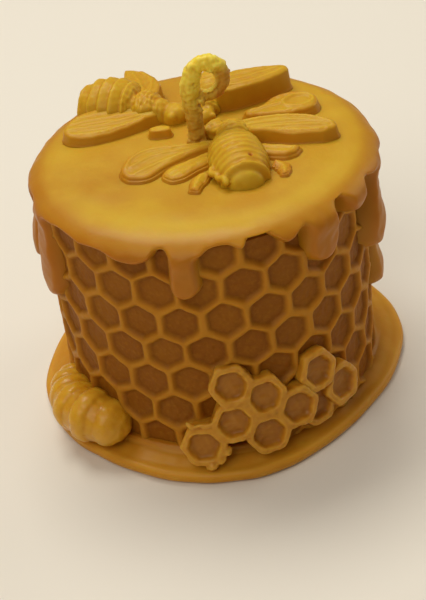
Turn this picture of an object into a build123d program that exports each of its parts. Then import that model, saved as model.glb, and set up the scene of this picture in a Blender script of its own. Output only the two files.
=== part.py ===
from build123d import *
import os
from math import sin, cos, radians, degrees, atan2, hypot, pi

# ---------------------------------------------------------------------------
# Poured beeswax pillar candle: a drum with a honeycomb relief, a wax cap that
# runs down it in drips, a spread foot, three bees lying on top around the
# wick, two pieces of broken comb and a ribbed hive at the foot.
# Millimetres, +Z up. Origin: centre of the foot's underside, on the axis of
# the drum. -Y is the front of the candle. Angles round the drum (theta) are
# measured from -Y towards +X.
# ---------------------------------------------------------------------------

# --- driving dimensions ------------------------------------------------------
FOOT_T = 3.3            # thickness of the spread foot
DRUM_R = 28.8           # radius over the honeycomb ridges
FLOOR_R = 27.95         # radius at the floor of a cell
DRUM_TOP = 45.8         # top of the drum, where the cap sits
CELLS_ROUND = 24        # cells round the drum
ROW_PITCH = 6.313       # height from one row of cells to the next
ROW_B_Z = 31.13         # height of the row that starts the lattice
RIDGE_W = 1.15          # width of the ridges between cells
LATTICE_TH0 = -12.93    # angle of the first cell of row B, degrees
LATTICE_SLANT = 0.97    # slant of the lattice on the unrolled drum, degrees

CAP_R = 31.0            # cap radius at its widest
CAP_X = 0.75            # the cap sits slightly off the axis of the drum
CAP_TOP = 48.3          # flat top of the cap
CAP_FLAT_R = 25.0       # radius of the flat part
DRIP_R = 30.35          # outside radius of an ordinary drip

WICK_R = 1.45           # radius of the waxed wick
WICK_Y = 1.5            # the wick comes out a little behind the middle
LOOP_C = (3.3, 60.4)    # centre of the wick's loop, X and Z
LOOP_A, LOOP_B = 2.9, 3.2   # half width and half height of the loop's centre line
LOOP_R = 1.25           # cord radius round the loop

WING_DRAW = 0.5         # how far the top edge of a wing is drawn in
COMB_PITCH = 6.9        # distance between cells on the loose comb
COMB_CELL = 2.7        # cell apothem on the loose comb
COMB_DEPTH = 1.1        # depth of those cells

# outline of the foot, (theta, radius)
FOOT = [(-170, 34.3), (-155, 34.1), (-140, 34.6), (-122, 34.4), (-104, 34.0),
        (-88, 34.4), (-77, 34.3), (-65, 34.2), (-54, 34.0), (-42, 33.7),
        (-32, 33.7), (-24, 34.0), (-15, 34.1), (-5, 34.3), (5, 34.2),
        (14, 33.6), (23, 32.8), (34, 32.0), (46, 31.5), (58, 31.8),
        (68, 32.4), (81, 33.5), (92, 34.4), (101, 34.9), (112, 35.2),
        (130, 34.9), (145, 34.3), (160, 34.2), (175, 34.4)]

# drips: (theta, half width in mm, lowest z, outside radius)
DRIPS = [(-28.5, 6.2, 43.9, 30.0), (-8.0, 2.75, 37.9, DRIP_R), (21.0, 2.0, 44.6, 29.8),
         (37.5, 5.4, 37.3, DRIP_R), (56.0, 3.2, 41.0, 29.9), (76.0, 4.8, 27.8, 31.6),
         (90.0, 4.1, 15.0, 31.1), (112.0, 3.4, 33.0, DRIP_R), (131.0, 4.6, 27.5, 30.6),
         (150.0, 3.0, 39.0, DRIP_R), (167.0, 3.8, 22.0, 30.8), (-174.0, 4.4, 36.0, DRIP_R),
         (-156.0, 3.0, 29.0, DRIP_R), (-139.0, 4.8, 34.5, 30.6), (-121.0, 3.2, 24.5, DRIP_R),
         (-93.5, 4.4, 30.6, 31.0), (-72.5, 5.4, 25.6, 30.9)]

os.makedirs("parts", exist_ok=True)


def polar(r, th, z=0.0):
    """Point at radius r and angle th (degrees from -Y towards +X)."""
    return (r * sin(radians(th)), -r * cos(radians(th)), z)


def facing(r, th, z, tilt=0.0):
    """Plane at (r, th, z) whose normal points out of the drum, tilted up by tilt."""
    t, b = radians(th), radians(tilt)
    n = (sin(t) * cos(b), -cos(t) * cos(b), sin(b))
    return Plane(origin=polar(r, th, z), x_dir=(cos(t), sin(t), 0), z_dir=n)


# ---------------------------------------------------------------------------
# wick: runs the full height of the candle and folds over in a loop on top
# ---------------------------------------------------------------------------
with BuildPart() as wick:
    with BuildSketch(Plane.XY):
        with Locations((0, WICK_Y)):
            Circle(WICK_R)
    extrude(amount=60.6)
    fillet(wick.edges().filter_by(GeomType.CIRCLE).group_by(Axis.Z)[-1], 1.0)
    # the loop: two half rings joined by straight runs
    half = LOOP_B - LOOP_A
    for z, arc in ((LOOP_C[1] + half, -180), (LOOP_C[1] - half, 180)):
        with BuildSketch(Plane.XY.offset(z)):
            with Locations((LOOP_C[0] + LOOP_A, WICK_Y)):
                Circle(LOOP_R)
        revolve(axis=Axis((LOOP_C[0], WICK_Y, z), (0, 1, 0)), revolution_arc=arc)
    with BuildSketch(Plane.XY.offset(LOOP_C[1] - half)):
        with Locations((LOOP_C[0] - LOOP_A, WICK_Y), (LOOP_C[0] + LOOP_A, WICK_Y)):
            Circle(LOOP_R)
    extrude(amount=2 * half)
wick.part.label = "wick"

# ---------------------------------------------------------------------------
# foot: an uneven round puddle with soft edges, flat underneath
# ---------------------------------------------------------------------------
with BuildPart() as foot:
    with BuildSketch(Plane.XY):
        with BuildLine():
            Spline(*[polar(r, th)[:2] for th, r in FOOT], periodic=True)
        make_face()
    extrude(amount=FOOT_T)
    fillet(foot.edges().group_by(Axis.Z)[-1], 1.5)
    fillet(foot.edges().group_by(Axis.Z)[0], 1.2)
    with BuildSketch(Plane.XY):
        with Locations((0, WICK_Y)):
            Circle(WICK_R)
    extrude(amount=FOOT_T, mode=Mode.SUBTRACT)
foot.part.label = "foot"

# ---------------------------------------------------------------------------
# drum: the body of the candle with its honeycomb relief
# ---------------------------------------------------------------------------
CELL_PITCH = 2 * pi * FLOOR_R / CELLS_ROUND
CELL_APOTHEM = (CELL_PITCH - RIDGE_W) / 2


def cell_place(row, k):
    """Plane on the floor of one cell. Rows climb slightly across the front and close at the back."""
    u = 2 * pi * (k + (0.5 if row % 2 else 0.0)) / CELLS_ROUND
    v = -row * ROW_PITCH
    th = degrees(u - v / DRUM_R * sin(radians(LATTICE_SLANT))) + LATTICE_TH0
    z = ROW_B_Z + v + FLOOR_R * sin(radians(LATTICE_SLANT)) * sin(u)
    return facing(FLOOR_R, th, z)


with BuildPart(mode=Mode.PRIVATE) as cell:
    with BuildSketch(Plane.XY):
        RegularPolygon(CELL_APOTHEM, 6, major_radius=False, rotation=30)
    extrude(amount=3)

with BuildPart() as drum:
    with BuildSketch(Plane.XY.offset(FOOT_T)):
        Circle(DRUM_R)
        with Locations((0, WICK_Y)):
            Circle(WICK_R, mode=Mode.SUBTRACT)
    extrude(amount=DRUM_TOP - FOOT_T)
    with Locations([cell_place(row, k).location for row in range(-2, 5) for k in range(CELLS_ROUND)]):
        add(cell.part, mode=Mode.SUBTRACT)
drum.part.label = "honeycomb_drum"

# ---------------------------------------------------------------------------
# cap: the top of the candle, a flat disc with a soft shoulder and drips
# ---------------------------------------------------------------------------
run, drop = CAP_R - CAP_FLAT_R, CAP_TOP - DRUM_TOP - 0.9
shoulder_r = (run ** 2 + drop ** 2) / (2 * drop)          # arc that leaves the flat smoothly
half_turn = atan2(run, shoulder_r - drop) / 2
mid_x = CAP_FLAT_R + shoulder_r * sin(half_turn)
mid_z = CAP_TOP - shoulder_r * (1 - cos(half_turn))

with BuildPart() as cap:
    with BuildSketch(Plane(origin=(CAP_X, 0, 0), x_dir=(1, 0, 0), z_dir=(0, -1, 0))):
        with BuildLine():
            Polyline((0, CAP_TOP), (0, DRUM_TOP), (CAP_R - 0.9, DRUM_TOP))
            ThreePointArc((CAP_R - 0.9, DRUM_TOP), (CAP_R - 0.2, DRUM_TOP + 0.25), (CAP_R, DRUM_TOP + 0.9))
            ThreePointArc((CAP_R, DRUM_TOP + 0.9), (mid_x, mid_z), (CAP_FLAT_R, CAP_TOP))
            Line((CAP_FLAT_R, CAP_TOP), (0, CAP_TOP))
        make_face()
    revolve(axis=Axis((CAP_X, 0, 0), (0, 0, 1)), revolution_arc=360)
    # a thin skirt under the shoulder that the drips grow out of
    with BuildSketch(Plane.XY.offset(DRUM_TOP - 0.9)):
        Circle(DRUM_R + 0.9)
        Circle(DRUM_R, mode=Mode.SUBTRACT)
    extrude(amount=1.2)

drip_ring = {}
for i, (th, hw, zlow, rout) in enumerate(DRIPS):
    with BuildPart() as drip:
        with BuildSketch(facing(DRUM_R - 3, th, 0)):
            with Locations((0, (DRUM_TOP + 0.6 + zlow) / 2)):
                Rectangle(2 * hw, DRUM_TOP + 0.6 - zlow)
            fillet(vertices().group_by(Axis.Y)[0], min(0.97 * hw, 4.0, DRUM_TOP + 0.3 - zlow))
        extrude(amount=8)
        with BuildSketch(Plane.XY.offset(zlow - 2)):
            Circle(rout)
            Circle(DRUM_R, mode=Mode.SUBTRACT)
        extrude(amount=DRUM_TOP + 4 - zlow, mode=Mode.INTERSECT)
    drip_ring[i] = drip.part

with BuildPart(mode=Mode.PRIVATE) as cap_full:
    add(cap.part)
    for d in drip_ring.values():
        add(d)
    with BuildSketch(Plane.XY.offset(DRUM_TOP - 2)):
        with Locations((0, WICK_Y)):
            Circle(WICK_R)
    extrude(amount=6, mode=Mode.SUBTRACT)
cap_full.part.label = "drip_cap"


# ---------------------------------------------------------------------------
# bees: each lies on the cap, cut flat where it meets it
# ---------------------------------------------------------------------------
def ribbed(length, radius, ribs, start=0.0, blunt=0.55):
    """Points where the ribs of a blunt egg meet, from near start to its far end."""
    pts = []
    for i in range(ribs + 1):
        t = start + (1 - start) * i / ribs
        pts.append((length * t, radius * max(0.0, 1 - abs(2 * t - 1) ** (2 + blunt)) ** 0.5))
    pts[-1] = (length, 0.34 * radius)
    return pts


def bulge(p, q, k=0.16):
    """Middle point of an arc from p to q that bulges outwards."""
    return ((p[0] + q[0]) / 2 - (q[1] - p[1]) * k, (p[1] + q[1]) / 2 + (q[0] - p[0]) * k)


def along(x, y, z, heading, dip=0.0):
    """Plane whose X axis points along heading (theta) and dips towards the cap, Z to one side."""
    t, d = radians(heading), radians(dip)
    return Plane(origin=(x, y, z), x_dir=(sin(t) * cos(d), -cos(t) * cos(d), -sin(d)),
                 z_dir=(cos(t), sin(t), 0))


def bee_body(x, y, heading, abdomen, radius, ribs, sink, fore=1.0):
    """Head, thorax and ribbed abdomen turned about one axis. (x, y) is the waist."""
    frame = along(x, y, CAP_TOP + radius - sink, heading, 2)
    with BuildPart() as b:
        pts = ribbed(abdomen, radius, ribs, 0.06)
        with BuildSketch(frame):
            with BuildLine():
                Line((-7.4 * fore, 0), (-7.4 * fore, 0.2 * radius))
                ThreePointArc((-7.4 * fore, 0.2 * radius), (-6.0 * fore, 0.48 * radius), (-4.2 * fore, 0.3 * radius))
                ThreePointArc((-4.2 * fore, 0.3 * radius), (-1.8 * fore, 0.6 * radius), pts[0])
                for p, q in zip(pts[:-1], pts[1:]):
                    ThreePointArc(p, bulge(p, q), q)
                Polyline(pts[-1], (abdomen, 0), (-7.4 * fore, 0))
            make_face()
        revolve(axis=Axis(frame.origin, frame.x_dir), revolution_arc=360)
        # flat where it lies on the cap
        with BuildSketch(Plane.XY.offset(CAP_TOP)):
            with Locations((x, y)):
                Rectangle(80, 80)
        extrude(amount=-30, mode=Mode.SUBTRACT)
    return b.part


front_bee = bee_body(6.0, -1.4, 6.5, 14.9, 4.75, 9, 4.55, 0.95)
left_bee = bee_body(-9.0, 15.2, -114, 11.6, 5.1, 5, 4.9, 1.1)
rear_bee = bee_body(3.6, 14.4, 172, 8.6, 3.3, 5, 3.1, 0.75)


def wing(outline, height, cuts):
    """A slab wing standing on the cap, its sides drawn in towards the top, less the solids in cuts."""
    cx = sum(p[0] for p in outline) / len(outline)
    cy = sum(p[1] for p in outline) / len(outline)
    top = []
    for px, py in outline:
        d = hypot(px - cx, py - cy)
        k = (d - WING_DRAW) / d
        top.append((cx + (px - cx) * k, cy + (py - cy) * k))
    with BuildPart() as w:
        for z, pts in ((CAP_TOP, outline), (CAP_TOP + height, top)):
            with BuildSketch(Plane.XY.offset(z)):
                with BuildLine():
                    Spline(*pts, periodic=True)
                make_face()
        loft()
        for c in cuts:
            add(c, mode=Mode.SUBTRACT)
    return w.part


def biggest(part):
    """The largest solid of a part."""
    return part.solids().sort_by(SortBy.VOLUME)[-1]


# outlines of the wings on the cap
FRONT_L_FORE = [(4.0, -0.5), (-2.0, -0.8), (-8.0, -0.5), (-11.4, -2.3), (-13.5, -5.4), (-13.2, -8.1),
                (-11.4, -9.5), (-8.8, -9.5), (-6.2, -7.6), (-2.0, -4.8), (3.2, -2.8)]
FRONT_L_HIND = [(2.2, -3.4), (-1.0, -5.0), (-4.6, -6.7), (-6.2, -8.4), (-6.0, -10.6), (-4.6, -11.9),
                (-2.8, -11.4), (-0.8, -9.4), (2.6, -6.6)]
FRONT_R_FORE = [(8.0, 3.4), (13.5, 3.8), (18.0, 3.2), (22.0, 1.4), (24.8, -0.9), (24.6, -2.7),
                (21.0, -3.9), (17.0, -3.3), (12.6, -1.8), (9.0, -0.6)]
FRONT_R_HIND = [(10.2, -2.9), (12.8, -3.6), (16.0, -4.9), (17.7, -5.6), (17.3, -6.9), (16.4, -7.9),
                (14.6, -8.3), (12.4, -7.5), (10.4, -6.4)]
LEFT_NEAR = [(-5.4, 10.8), (-7.6, 9.2), (-11.2, 7.5), (-15.6, 6.2), (-19.6, 5.9), (-22.6, 7.0),
             (-23.5, 8.8), (-22.2, 11.4), (-19.6, 13.6), (-14.5, 14.4), (-9.0, 13.6)]
LEFT_FAR = [(-6.4, 14.8), (-4.8, 18.4), (-5.4, 21.6), (-7.4, 24.6), (-9.6, 26.3), (-11.5, 26.5),
            (-11.8, 25.0), (-11.6, 22.0), (-9.8, 17.0)]
REAR_FORE = [(4.6, 11.6), (7.2, 11.4), (10.0, 12.0), (14.8, 14.0), (18.0, 16.2), (18.6, 17.6),
             (17.4, 19.2), (13.0, 19.8), (8.0, 19.4), (5.0, 16.0)]
REAR_HIND = [(9.2, 8.6), (11.7, 9.2), (14.8, 11.8), (18.1, 13.0), (21.6, 12.6), (23.4, 9.9),
             (22.6, 6.2), (18.4, 5.1), (13.6, 5.4), (9.6, 6.2)]

front_left_fore = biggest(wing(FRONT_L_FORE, 2.1, [front_bee]))
front_left_hind = biggest(wing(FRONT_L_HIND, 1.5, [front_bee, front_left_fore]))
front_right_fore = biggest(wing(FRONT_R_FORE, 2.5, [front_bee]))
front_right_hind = biggest(wing(FRONT_R_HIND, 1.4, [front_bee, front_right_fore]))
left_near = biggest(wing(LEFT_NEAR, 2.4, [left_bee]))
left_far = biggest(wing(LEFT_FAR, 3.3, [left_bee]))
rear_fore = biggest(wing(REAR_FORE, 4.0, [rear_bee]))
rear_hind = biggest(wing(REAR_HIND, 1.8, [rear_bee, rear_fore]))


def leg(pts, width, height, cuts):
    """A short bent leg lying on the cap."""
    with BuildPart() as g:
        with BuildSketch(Plane.XY.offset(CAP_TOP)):
            for (x0, y0), (x1, y1) in zip(pts[:-1], pts[1:]):
                turn = degrees(atan2(y1 - y0, x1 - x0))
                with Locations(Location(((x0 + x1) / 2, (y0 + y1) / 2, 0), (0, 0, turn))):
                    SlotCenterToCenter(hypot(x1 - x0, y1 - y0), width)
        extrude(amount=height)
        for c in cuts:
            add(c, mode=Mode.SUBTRACT)
    return biggest(g.part)


front_left_leg = leg([(1.0, -10.2), (-0.5, -12.4), (-1.5, -15.4)], 2.2, 1.1, [front_bee, front_left_hind])
front_right_leg = leg([(12.4, -9.2), (14.0, -10.8), (14.0, -13.8)], 1.9, 0.9, [front_bee, front_right_hind])
left_leg = leg([(-7.0, 5.7), (-5.1, 5.7)], 2.1, 1.6, [left_bee, left_near])

# ---------------------------------------------------------------------------
# loose comb: cells at the foot, leaning on the drum, (theta, z, radius of face)
# ---------------------------------------------------------------------------
FRONT_COMB = [(0.7, 18.6, 30.5), (11.3, 15.4, 31.1), (21.5, 11.4, 31.8),
              (0.3, 11.6, 31.8), (10.8, 8.2, 32.3), (-10.1, 7.4, 32.5)]
SIDE_COMB = [(31.5, 16.2, 30.7), (40.6, 10.9, 31.1), (30.2, 9.2, 31.4)]
COMB_TILT = 10.5


def loose_comb(cells, cuts):
    """A piece of broken comb: hexagonal cells, each facing out and a little up."""
    with BuildPart() as c:
        for th, z, r in cells:
            with BuildSketch(facing(r, th, z, COMB_TILT)):
                RegularPolygon(COMB_PITCH / 2 + 0.8, 6, major_radius=False, rotation=4)
                fillet(vertices(), 1.2)
            extrude(amount=-9)
        # face against the drum and the foot
        with BuildSketch(Plane.XY.offset(-10)):
            Circle(DRUM_R)
        extrude(amount=60, mode=Mode.SUBTRACT)
        with BuildSketch(Plane.XY.offset(FOOT_T)):
            Circle(60)
        extrude(amount=-30, mode=Mode.SUBTRACT)
        for th, z, r in cells:
            with BuildSketch(facing(r - COMB_DEPTH, th, z, COMB_TILT)):
                RegularPolygon(COMB_CELL, 6, major_radius=False, rotation=4)
                fillet(vertices(), 0.8)
            extrude(amount=6, mode=Mode.SUBTRACT)
        for k in cuts:
            add(k, mode=Mode.SUBTRACT)
    return c.part


front_comb = loose_comb(FRONT_COMB, [])
side_comb = biggest(loose_comb(SIDE_COMB, [front_comb]))

# ---------------------------------------------------------------------------
# ribbed hive: a straw hive lying on its side along the edge of the foot
# ---------------------------------------------------------------------------
HIVE_FRONT = (-19.5, -22.0)     # its rounded end
HIVE_BACK = (-29.6, -4.0)       # its narrow end
HIVE_R = 5.0
HIVE_RIBS = 6
hive_len = hypot(HIVE_BACK[0] - HIVE_FRONT[0], HIVE_BACK[1] - HIVE_FRONT[1])
hive_heading = degrees(atan2(HIVE_BACK[0] - HIVE_FRONT[0], -(HIVE_BACK[1] - HIVE_FRONT[1])))

with BuildPart() as hive:
    frame = along(HIVE_FRONT[0], HIVE_FRONT[1], FOOT_T + HIVE_R * 0.84, hive_heading, 4)
    rib_pts = [(0, 0)]
    for i in range(1, HIVE_RIBS + 1):
        t = i / HIVE_RIBS
        rib_pts.append((hive_len * t, HIVE_R * (1.0 - 0.36 * t ** 1.6) * (0.86 if i == 1 else 0.92)))
    with BuildSketch(frame):
        with BuildLine():
            ThreePointArc(rib_pts[0], (1.1, HIVE_R * 0.72), rib_pts[1])
            for p, q in zip(rib_pts[1:-1], rib_pts[2:]):
                ThreePointArc(p, bulge(p, q, 0.2), q)
            Polyline(rib_pts[-1], (hive_len, 0), (0, 0))
        make_face()
    revolve(axis=Axis(frame.origin, frame.x_dir), revolution_arc=360)
    with BuildSketch(Plane.XY.offset(-10)):
        Circle(DRUM_R)
    extrude(amount=60, mode=Mode.SUBTRACT)
    with BuildSketch(Plane.XY.offset(FOOT_T)):
        Circle(60)
    extrude(amount=-30, mode=Mode.SUBTRACT)

# ---------------------------------------------------------------------------
# every finished piece, one file each
# ---------------------------------------------------------------------------
PIECES = {
    "foot": foot.part,
    "honeycomb_drum": drum.part,
    "drip_cap": cap_full.part,
    "wick": wick.part,
    "front_bee_body": front_bee,
    "front_bee_left_forewing": front_left_fore,
    "front_bee_left_hindwing": front_left_hind,
    "front_bee_right_forewing": front_right_fore,
    "front_bee_right_hindwing": front_right_hind,
    "front_bee_left_leg": front_left_leg,
    "front_bee_right_leg": front_right_leg,
    "left_bee_body": left_bee,
    "left_bee_near_wing": left_near,
    "left_bee_far_wing": left_far,
    "left_bee_leg": left_leg,
    "rear_bee_body": rear_bee,
    "rear_bee_forewing": rear_fore,
    "rear_bee_hindwing": rear_hind,
    "front_comb": front_comb,
    "side_comb": side_comb,
    "ribbed_hive": hive.part,
}
for name, piece in PIECES.items():
    piece.label = name
    export_step(piece, f"parts/{name}.step")
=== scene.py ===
import math

import bpy
import numpy as np
from mathutils import Matrix, Vector
from mathutils.geometry import delaunay_2d_cdt


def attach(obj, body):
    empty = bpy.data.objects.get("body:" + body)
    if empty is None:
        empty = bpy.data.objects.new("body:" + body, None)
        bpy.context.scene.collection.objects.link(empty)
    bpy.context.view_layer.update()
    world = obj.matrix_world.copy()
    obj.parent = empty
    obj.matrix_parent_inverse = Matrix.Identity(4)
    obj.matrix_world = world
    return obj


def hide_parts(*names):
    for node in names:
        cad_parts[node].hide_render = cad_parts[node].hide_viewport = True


# ---------------------------------------------------------------------------
# Looks of the moulded beeswax candle. Shapes are worked out in millimetres in
# the CAD frame (+Z up, front -Y, angles round the drum from -Y towards +X)
# and written to Blender in metres.
# ---------------------------------------------------------------------------
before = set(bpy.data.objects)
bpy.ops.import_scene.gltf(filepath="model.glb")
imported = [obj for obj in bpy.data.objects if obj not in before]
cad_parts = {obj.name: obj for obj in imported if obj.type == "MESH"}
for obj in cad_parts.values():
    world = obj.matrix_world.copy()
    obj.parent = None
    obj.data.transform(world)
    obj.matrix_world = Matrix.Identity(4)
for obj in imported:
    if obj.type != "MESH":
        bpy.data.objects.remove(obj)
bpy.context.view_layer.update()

MM = 0.001
FOOT_T, DRUM_R, FLOOR_R, DRUM_TOP = 3.3, 28.8, 27.95, 45.8
CELLS_ROUND, ROW_PITCH, ROW_B_Z = 24, 6.313, 31.13
LATTICE_TH0, LATTICE_SLANT = -12.93, math.radians(0.97)
CAP_X, CAP_TOP = 0.75, 48.3
PITCH = 2 * math.pi * FLOOR_R / CELLS_ROUND


# --- small maths -------------------------------------------------------------
def smax(a, b, k):
    h = np.clip(0.5 + 0.5 * (a - b) / k, 0, 1)
    return b * (1 - h) + a * h + k * h * (1 - h)


def smin(a, b, k):
    return -smax(-a, -b, k)


def ease(a, b, x):
    t = np.clip((x - a) / (b - a), 0, 1)
    return t * t * (3 - 2 * t)


def waves(p, size, seed, n=14):
    """Smooth seeded noise about 1 high with features about size across."""
    rng = np.random.default_rng(seed)
    d = rng.normal(size=(n, p.shape[1]))
    d *= (2 * math.pi / size * rng.uniform(0.55, 1.5, n) / np.linalg.norm(d, axis=1))[:, None]
    return np.sin(p @ d.T + rng.uniform(0, 2 * math.pi, n)).sum(1) * math.sqrt(2 / n) * 0.7


def polar(r, th, z):
    t = np.radians(th)
    return np.stack(np.broadcast_arrays(r * np.sin(t), -r * np.cos(t), z), -1)


def closed_curve(pts, n):
    """n evenly spaced points on a smooth closed curve through pts."""
    p = np.asarray(pts, float)
    m = len(p)
    t = np.linspace(0, m, m * 40, endpoint=False)
    i = t.astype(int)
    f = (t - i)[:, None]
    a, b, c, d = p[(i - 1) % m], p[i % m], p[(i + 1) % m], p[(i + 2) % m]
    q = 0.5 * (2 * b + (c - a) * f + (2 * a - 5 * b + 4 * c - d) * f ** 2 + (3 * b - a - 3 * c + d) * f ** 3)
    s = np.concatenate([[0], np.cumsum(np.linalg.norm(np.diff(np.vstack([q, q[:1]]), axis=0), axis=1))])
    u = np.linspace(0, s[-1], n, endpoint=False)
    return np.stack([np.interp(u, s, np.append(q[:, k], q[0, k])) for k in range(p.shape[1])], 1)


def open_curve(pts, n):
    """n evenly spaced points on a smooth open curve through pts."""
    p = np.asarray(pts, float)
    p = np.vstack([2 * p[0] - p[1], p, 2 * p[-1] - p[-2]])
    m = len(p) - 3
    t = np.linspace(0, m - 1e-9, m * 40)
    i = t.astype(int)
    f = (t - i)[:, None]
    a, b, c, d = p[i], p[i + 1], p[i + 2], p[i + 3]
    q = 0.5 * (2 * b + (c - a) * f + (2 * a - 5 * b + 4 * c - d) * f ** 2 + (3 * b - a - 3 * c + d) * f ** 3)
    s = np.concatenate([[0], np.cumsum(np.linalg.norm(np.diff(q, axis=0), axis=1))])
    u = np.linspace(0, s[-1], n)
    return np.stack([np.interp(u, s, q[:, k]) for k in range(p.shape[1])], 1)


def ring_table(pairs, th):
    """Smooth periodic interpolation of (angle, value) pairs at the angles th, in degrees."""
    a = sorted(pairs)
    x = np.array([p[0] for p in a])
    y = np.array([p[1] for p in a])
    x3 = np.concatenate([x - 360, x, x + 360])
    y3 = np.concatenate([y, y, y])
    m = np.gradient(y3, x3)
    t = ((np.asarray(th) + 180) % 360) - 180
    i = np.clip(np.searchsorted(x3, t, side="right") - 1, 0, len(x3) - 2)
    h = x3[i + 1] - x3[i]
    f = (t - x3[i]) / h
    return ((2 * f ** 3 - 3 * f ** 2 + 1) * y3[i] + (f ** 3 - 2 * f ** 2 + f) * h * m[i]
            + (3 * f ** 2 - 2 * f ** 3) * y3[i + 1] + (f ** 3 - f ** 2) * h * m[i + 1])


def to_lines(p, line):
    """Distance from each 2-D point to a polyline, and how far along it (0 to 1) the nearest place is."""
    best = np.full(len(p), 1e9)
    along = np.zeros(len(p))
    a, b = line[:-1], line[1:]
    L = np.linalg.norm(b - a, axis=1)
    s = np.concatenate([[0], np.cumsum(L)])
    for i in range(len(a)):
        e = b[i] - a[i]
        t = np.clip(((p - a[i]) @ e) / max(e @ e, 1e-12), 0, 1)
        d = np.linalg.norm(p - a[i] - t[:, None] * e, axis=1)
        w = d < best
        best = np.where(w, d, best)
        along = np.where(w, (s[i] + t * L[i]) / s[-1], along)
    return best, along


def inside(p, loop):
    x, y = p[:, 0], p[:, 1]
    r = np.zeros(len(p), bool)
    for (x0, y0), (x1, y1) in zip(loop, np.roll(loop, -1, axis=0)):
        if y0 != y1:
            r ^= ((y0 > y) != (y1 > y)) & (x < (x1 - x0) * (y - y0) / (y1 - y0) + x0)
    return r


# --- meshes --------------------------------------------------------------------
def grid_faces(rows, cols, wrap=True, start=0):
    c = np.arange(cols if wrap else cols - 1)
    r = np.arange(rows - 1)[:, None]
    a = r * cols + c
    b = r * cols + (c + 1) % cols
    return start + np.stack([a, b, b + cols, a + cols], -1).reshape(-1, 4)


def fan(centre, ring, flip=False):
    nxt = np.roll(ring, -1)
    f = np.stack([np.full(len(ring), centre), ring, nxt], 1)
    return f[:, ::-1] if flip else f


def volume(v, faces):
    t = 0.0
    for f in faces:
        for k in range(1, f.shape[1] - 1):
            t += np.einsum("ij,ij->i", v[f[:, 0]], np.cross(v[f[:, k]], v[f[:, k + 1]])).sum()
    return t


def edges_of(faces):
    e = np.concatenate([np.stack([f[:, k], f[:, (k + 1) % f.shape[1]]], 1) for f in faces for k in range(f.shape[1])])
    e = np.sort(e, axis=1)
    return np.unique(e, axis=0)


def blur(values, e, times, keep=0.5):
    """Averages per-vertex values with their neighbours along the edges e."""
    n = len(values)
    deg = np.bincount(e.ravel(), minlength=n).astype(float)
    deg[deg == 0] = 1
    v = values.astype(float).copy()
    one = v.ndim == 1
    if one:
        v = v[:, None]
    for _ in range(times):
        s = np.stack([np.bincount(e[:, 0], v[e[:, 1], k], n) + np.bincount(e[:, 1], v[e[:, 0], k], n)
                      for k in range(v.shape[1])], 1) / deg[:, None]
        v = keep * v + (1 - keep) * s
    return v[:, 0] if one else v


def normals(v, faces):
    n = np.zeros_like(v)
    for f in faces:
        for k in range(1, f.shape[1] - 1):
            c = np.cross(v[f[:, k]] - v[f[:, 0]], v[f[:, k + 1]] - v[f[:, 0]])
            for j in (0, k, k + 1):
                for q in range(3):
                    n[:, q] += np.bincount(f[:, j], c[:, q], len(v))
    return n / np.maximum(np.linalg.norm(n, axis=1), 1e-12)[:, None]


def hollow(v, faces, reach):
    """How far each vertex lies in a hollow (plus) or on a ridge (minus), against its surroundings, in mm."""
    e = edges_of(faces)
    step = np.median(np.linalg.norm(v[e[:, 0]] - v[e[:, 1]], axis=1))
    w = blur(v, e, int(np.clip((reach / step) ** 2, 4, 60)))
    return np.einsum("ij,ij->i", w - v, normals(v, faces))


def build(name, v, faces, painted_light=None, shade_and_tone=None):
    """Makes the object from millimetre vertices. relief is painted light: plus for painted highlight on ridges, minus
    for painted shade in hollows; tone darkens where plus, mostly as painted shade, with some random per-cell colour
    change.
    """
    v = np.asarray(v, float)
    faces = [np.asarray(f) for f in faces if len(f)]
    if volume(v, faces) < 0:
        faces = [f[:, ::-1] for f in faces]
    # by default the painted light comes from the hollows: painted shade in hollows, painted highlight on ridges
    if painted_light is None:
        painted_light = -hollow(v, faces, 0.9) / 0.12
    me = bpy.data.meshes.new(name)
    me.vertices.add(len(v))
    me.vertices.foreach_set("co", (v * MM).astype(np.float32).ravel())
    loops = np.concatenate([f.ravel() for f in faces]).astype(np.int32)
    sizes = np.concatenate([np.full(len(f), f.shape[1]) for f in faces])
    me.loops.add(len(loops))
    me.loops.foreach_set("vertex_index", loops)
    me.polygons.add(len(sizes))
    me.polygons.foreach_set("loop_start", np.concatenate([[0], np.cumsum(sizes)[:-1]]).astype(np.int32))
    me.update(calc_edges=True)
    me.validate()
    me.shade_smooth()
    for key, val in (("painted_light", painted_light), ("shade_and_tone", shade_and_tone)):
        a = me.attributes.new(key, "FLOAT", "POINT")
        if val is not None:
            a.data.foreach_set("value", np.clip(val, -1, 1).astype(np.float32))
    o = bpy.data.objects.new(name, me)
    bpy.context.scene.collection.objects.link(o)
    return o


def lathe(p0, axis, ts, rs, side=1.0, tall=1.0, n=56, up=(0, 0, 1), shift=None):
    """Closed shell of rings round a line from p0 along axis. side and tall stretch it across and upwards."""
    p0 = np.asarray(p0, float)
    a = np.asarray(axis, float)
    a = a / np.linalg.norm(a)
    s = np.cross(a, up)
    s = s / np.linalg.norm(s)
    u = np.cross(s, a)
    ts, rs = np.asarray(ts, float), np.asarray(rs, float)
    ph = np.linspace(0, 2 * math.pi, n, endpoint=False)
    side = np.broadcast_to(side, ts.shape)
    tall = np.broadcast_to(tall, ts.shape)
    c = p0 + ts[:, None] * a
    if shift is not None:
        c = c + np.asarray(shift, float)
    v = (c[:, None, :] + (rs * side)[:, None, None] * np.cos(ph)[None, :, None] * s
         + (rs * tall)[:, None, None] * np.sin(ph)[None, :, None] * u).reshape(-1, 3)
    m = len(v)
    v = np.vstack([v, c[0], c[-1]])
    f4 = grid_faces(len(ts), n)
    f3 = np.vstack([fan(m, np.arange(n), True), fan(m + 1, np.arange(n) + (len(ts) - 1) * n)])
    faces = [f4, f3]
    if volume(v, faces) < 0:
        faces = [f[:, ::-1] for f in faces]
    return v, faces


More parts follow.
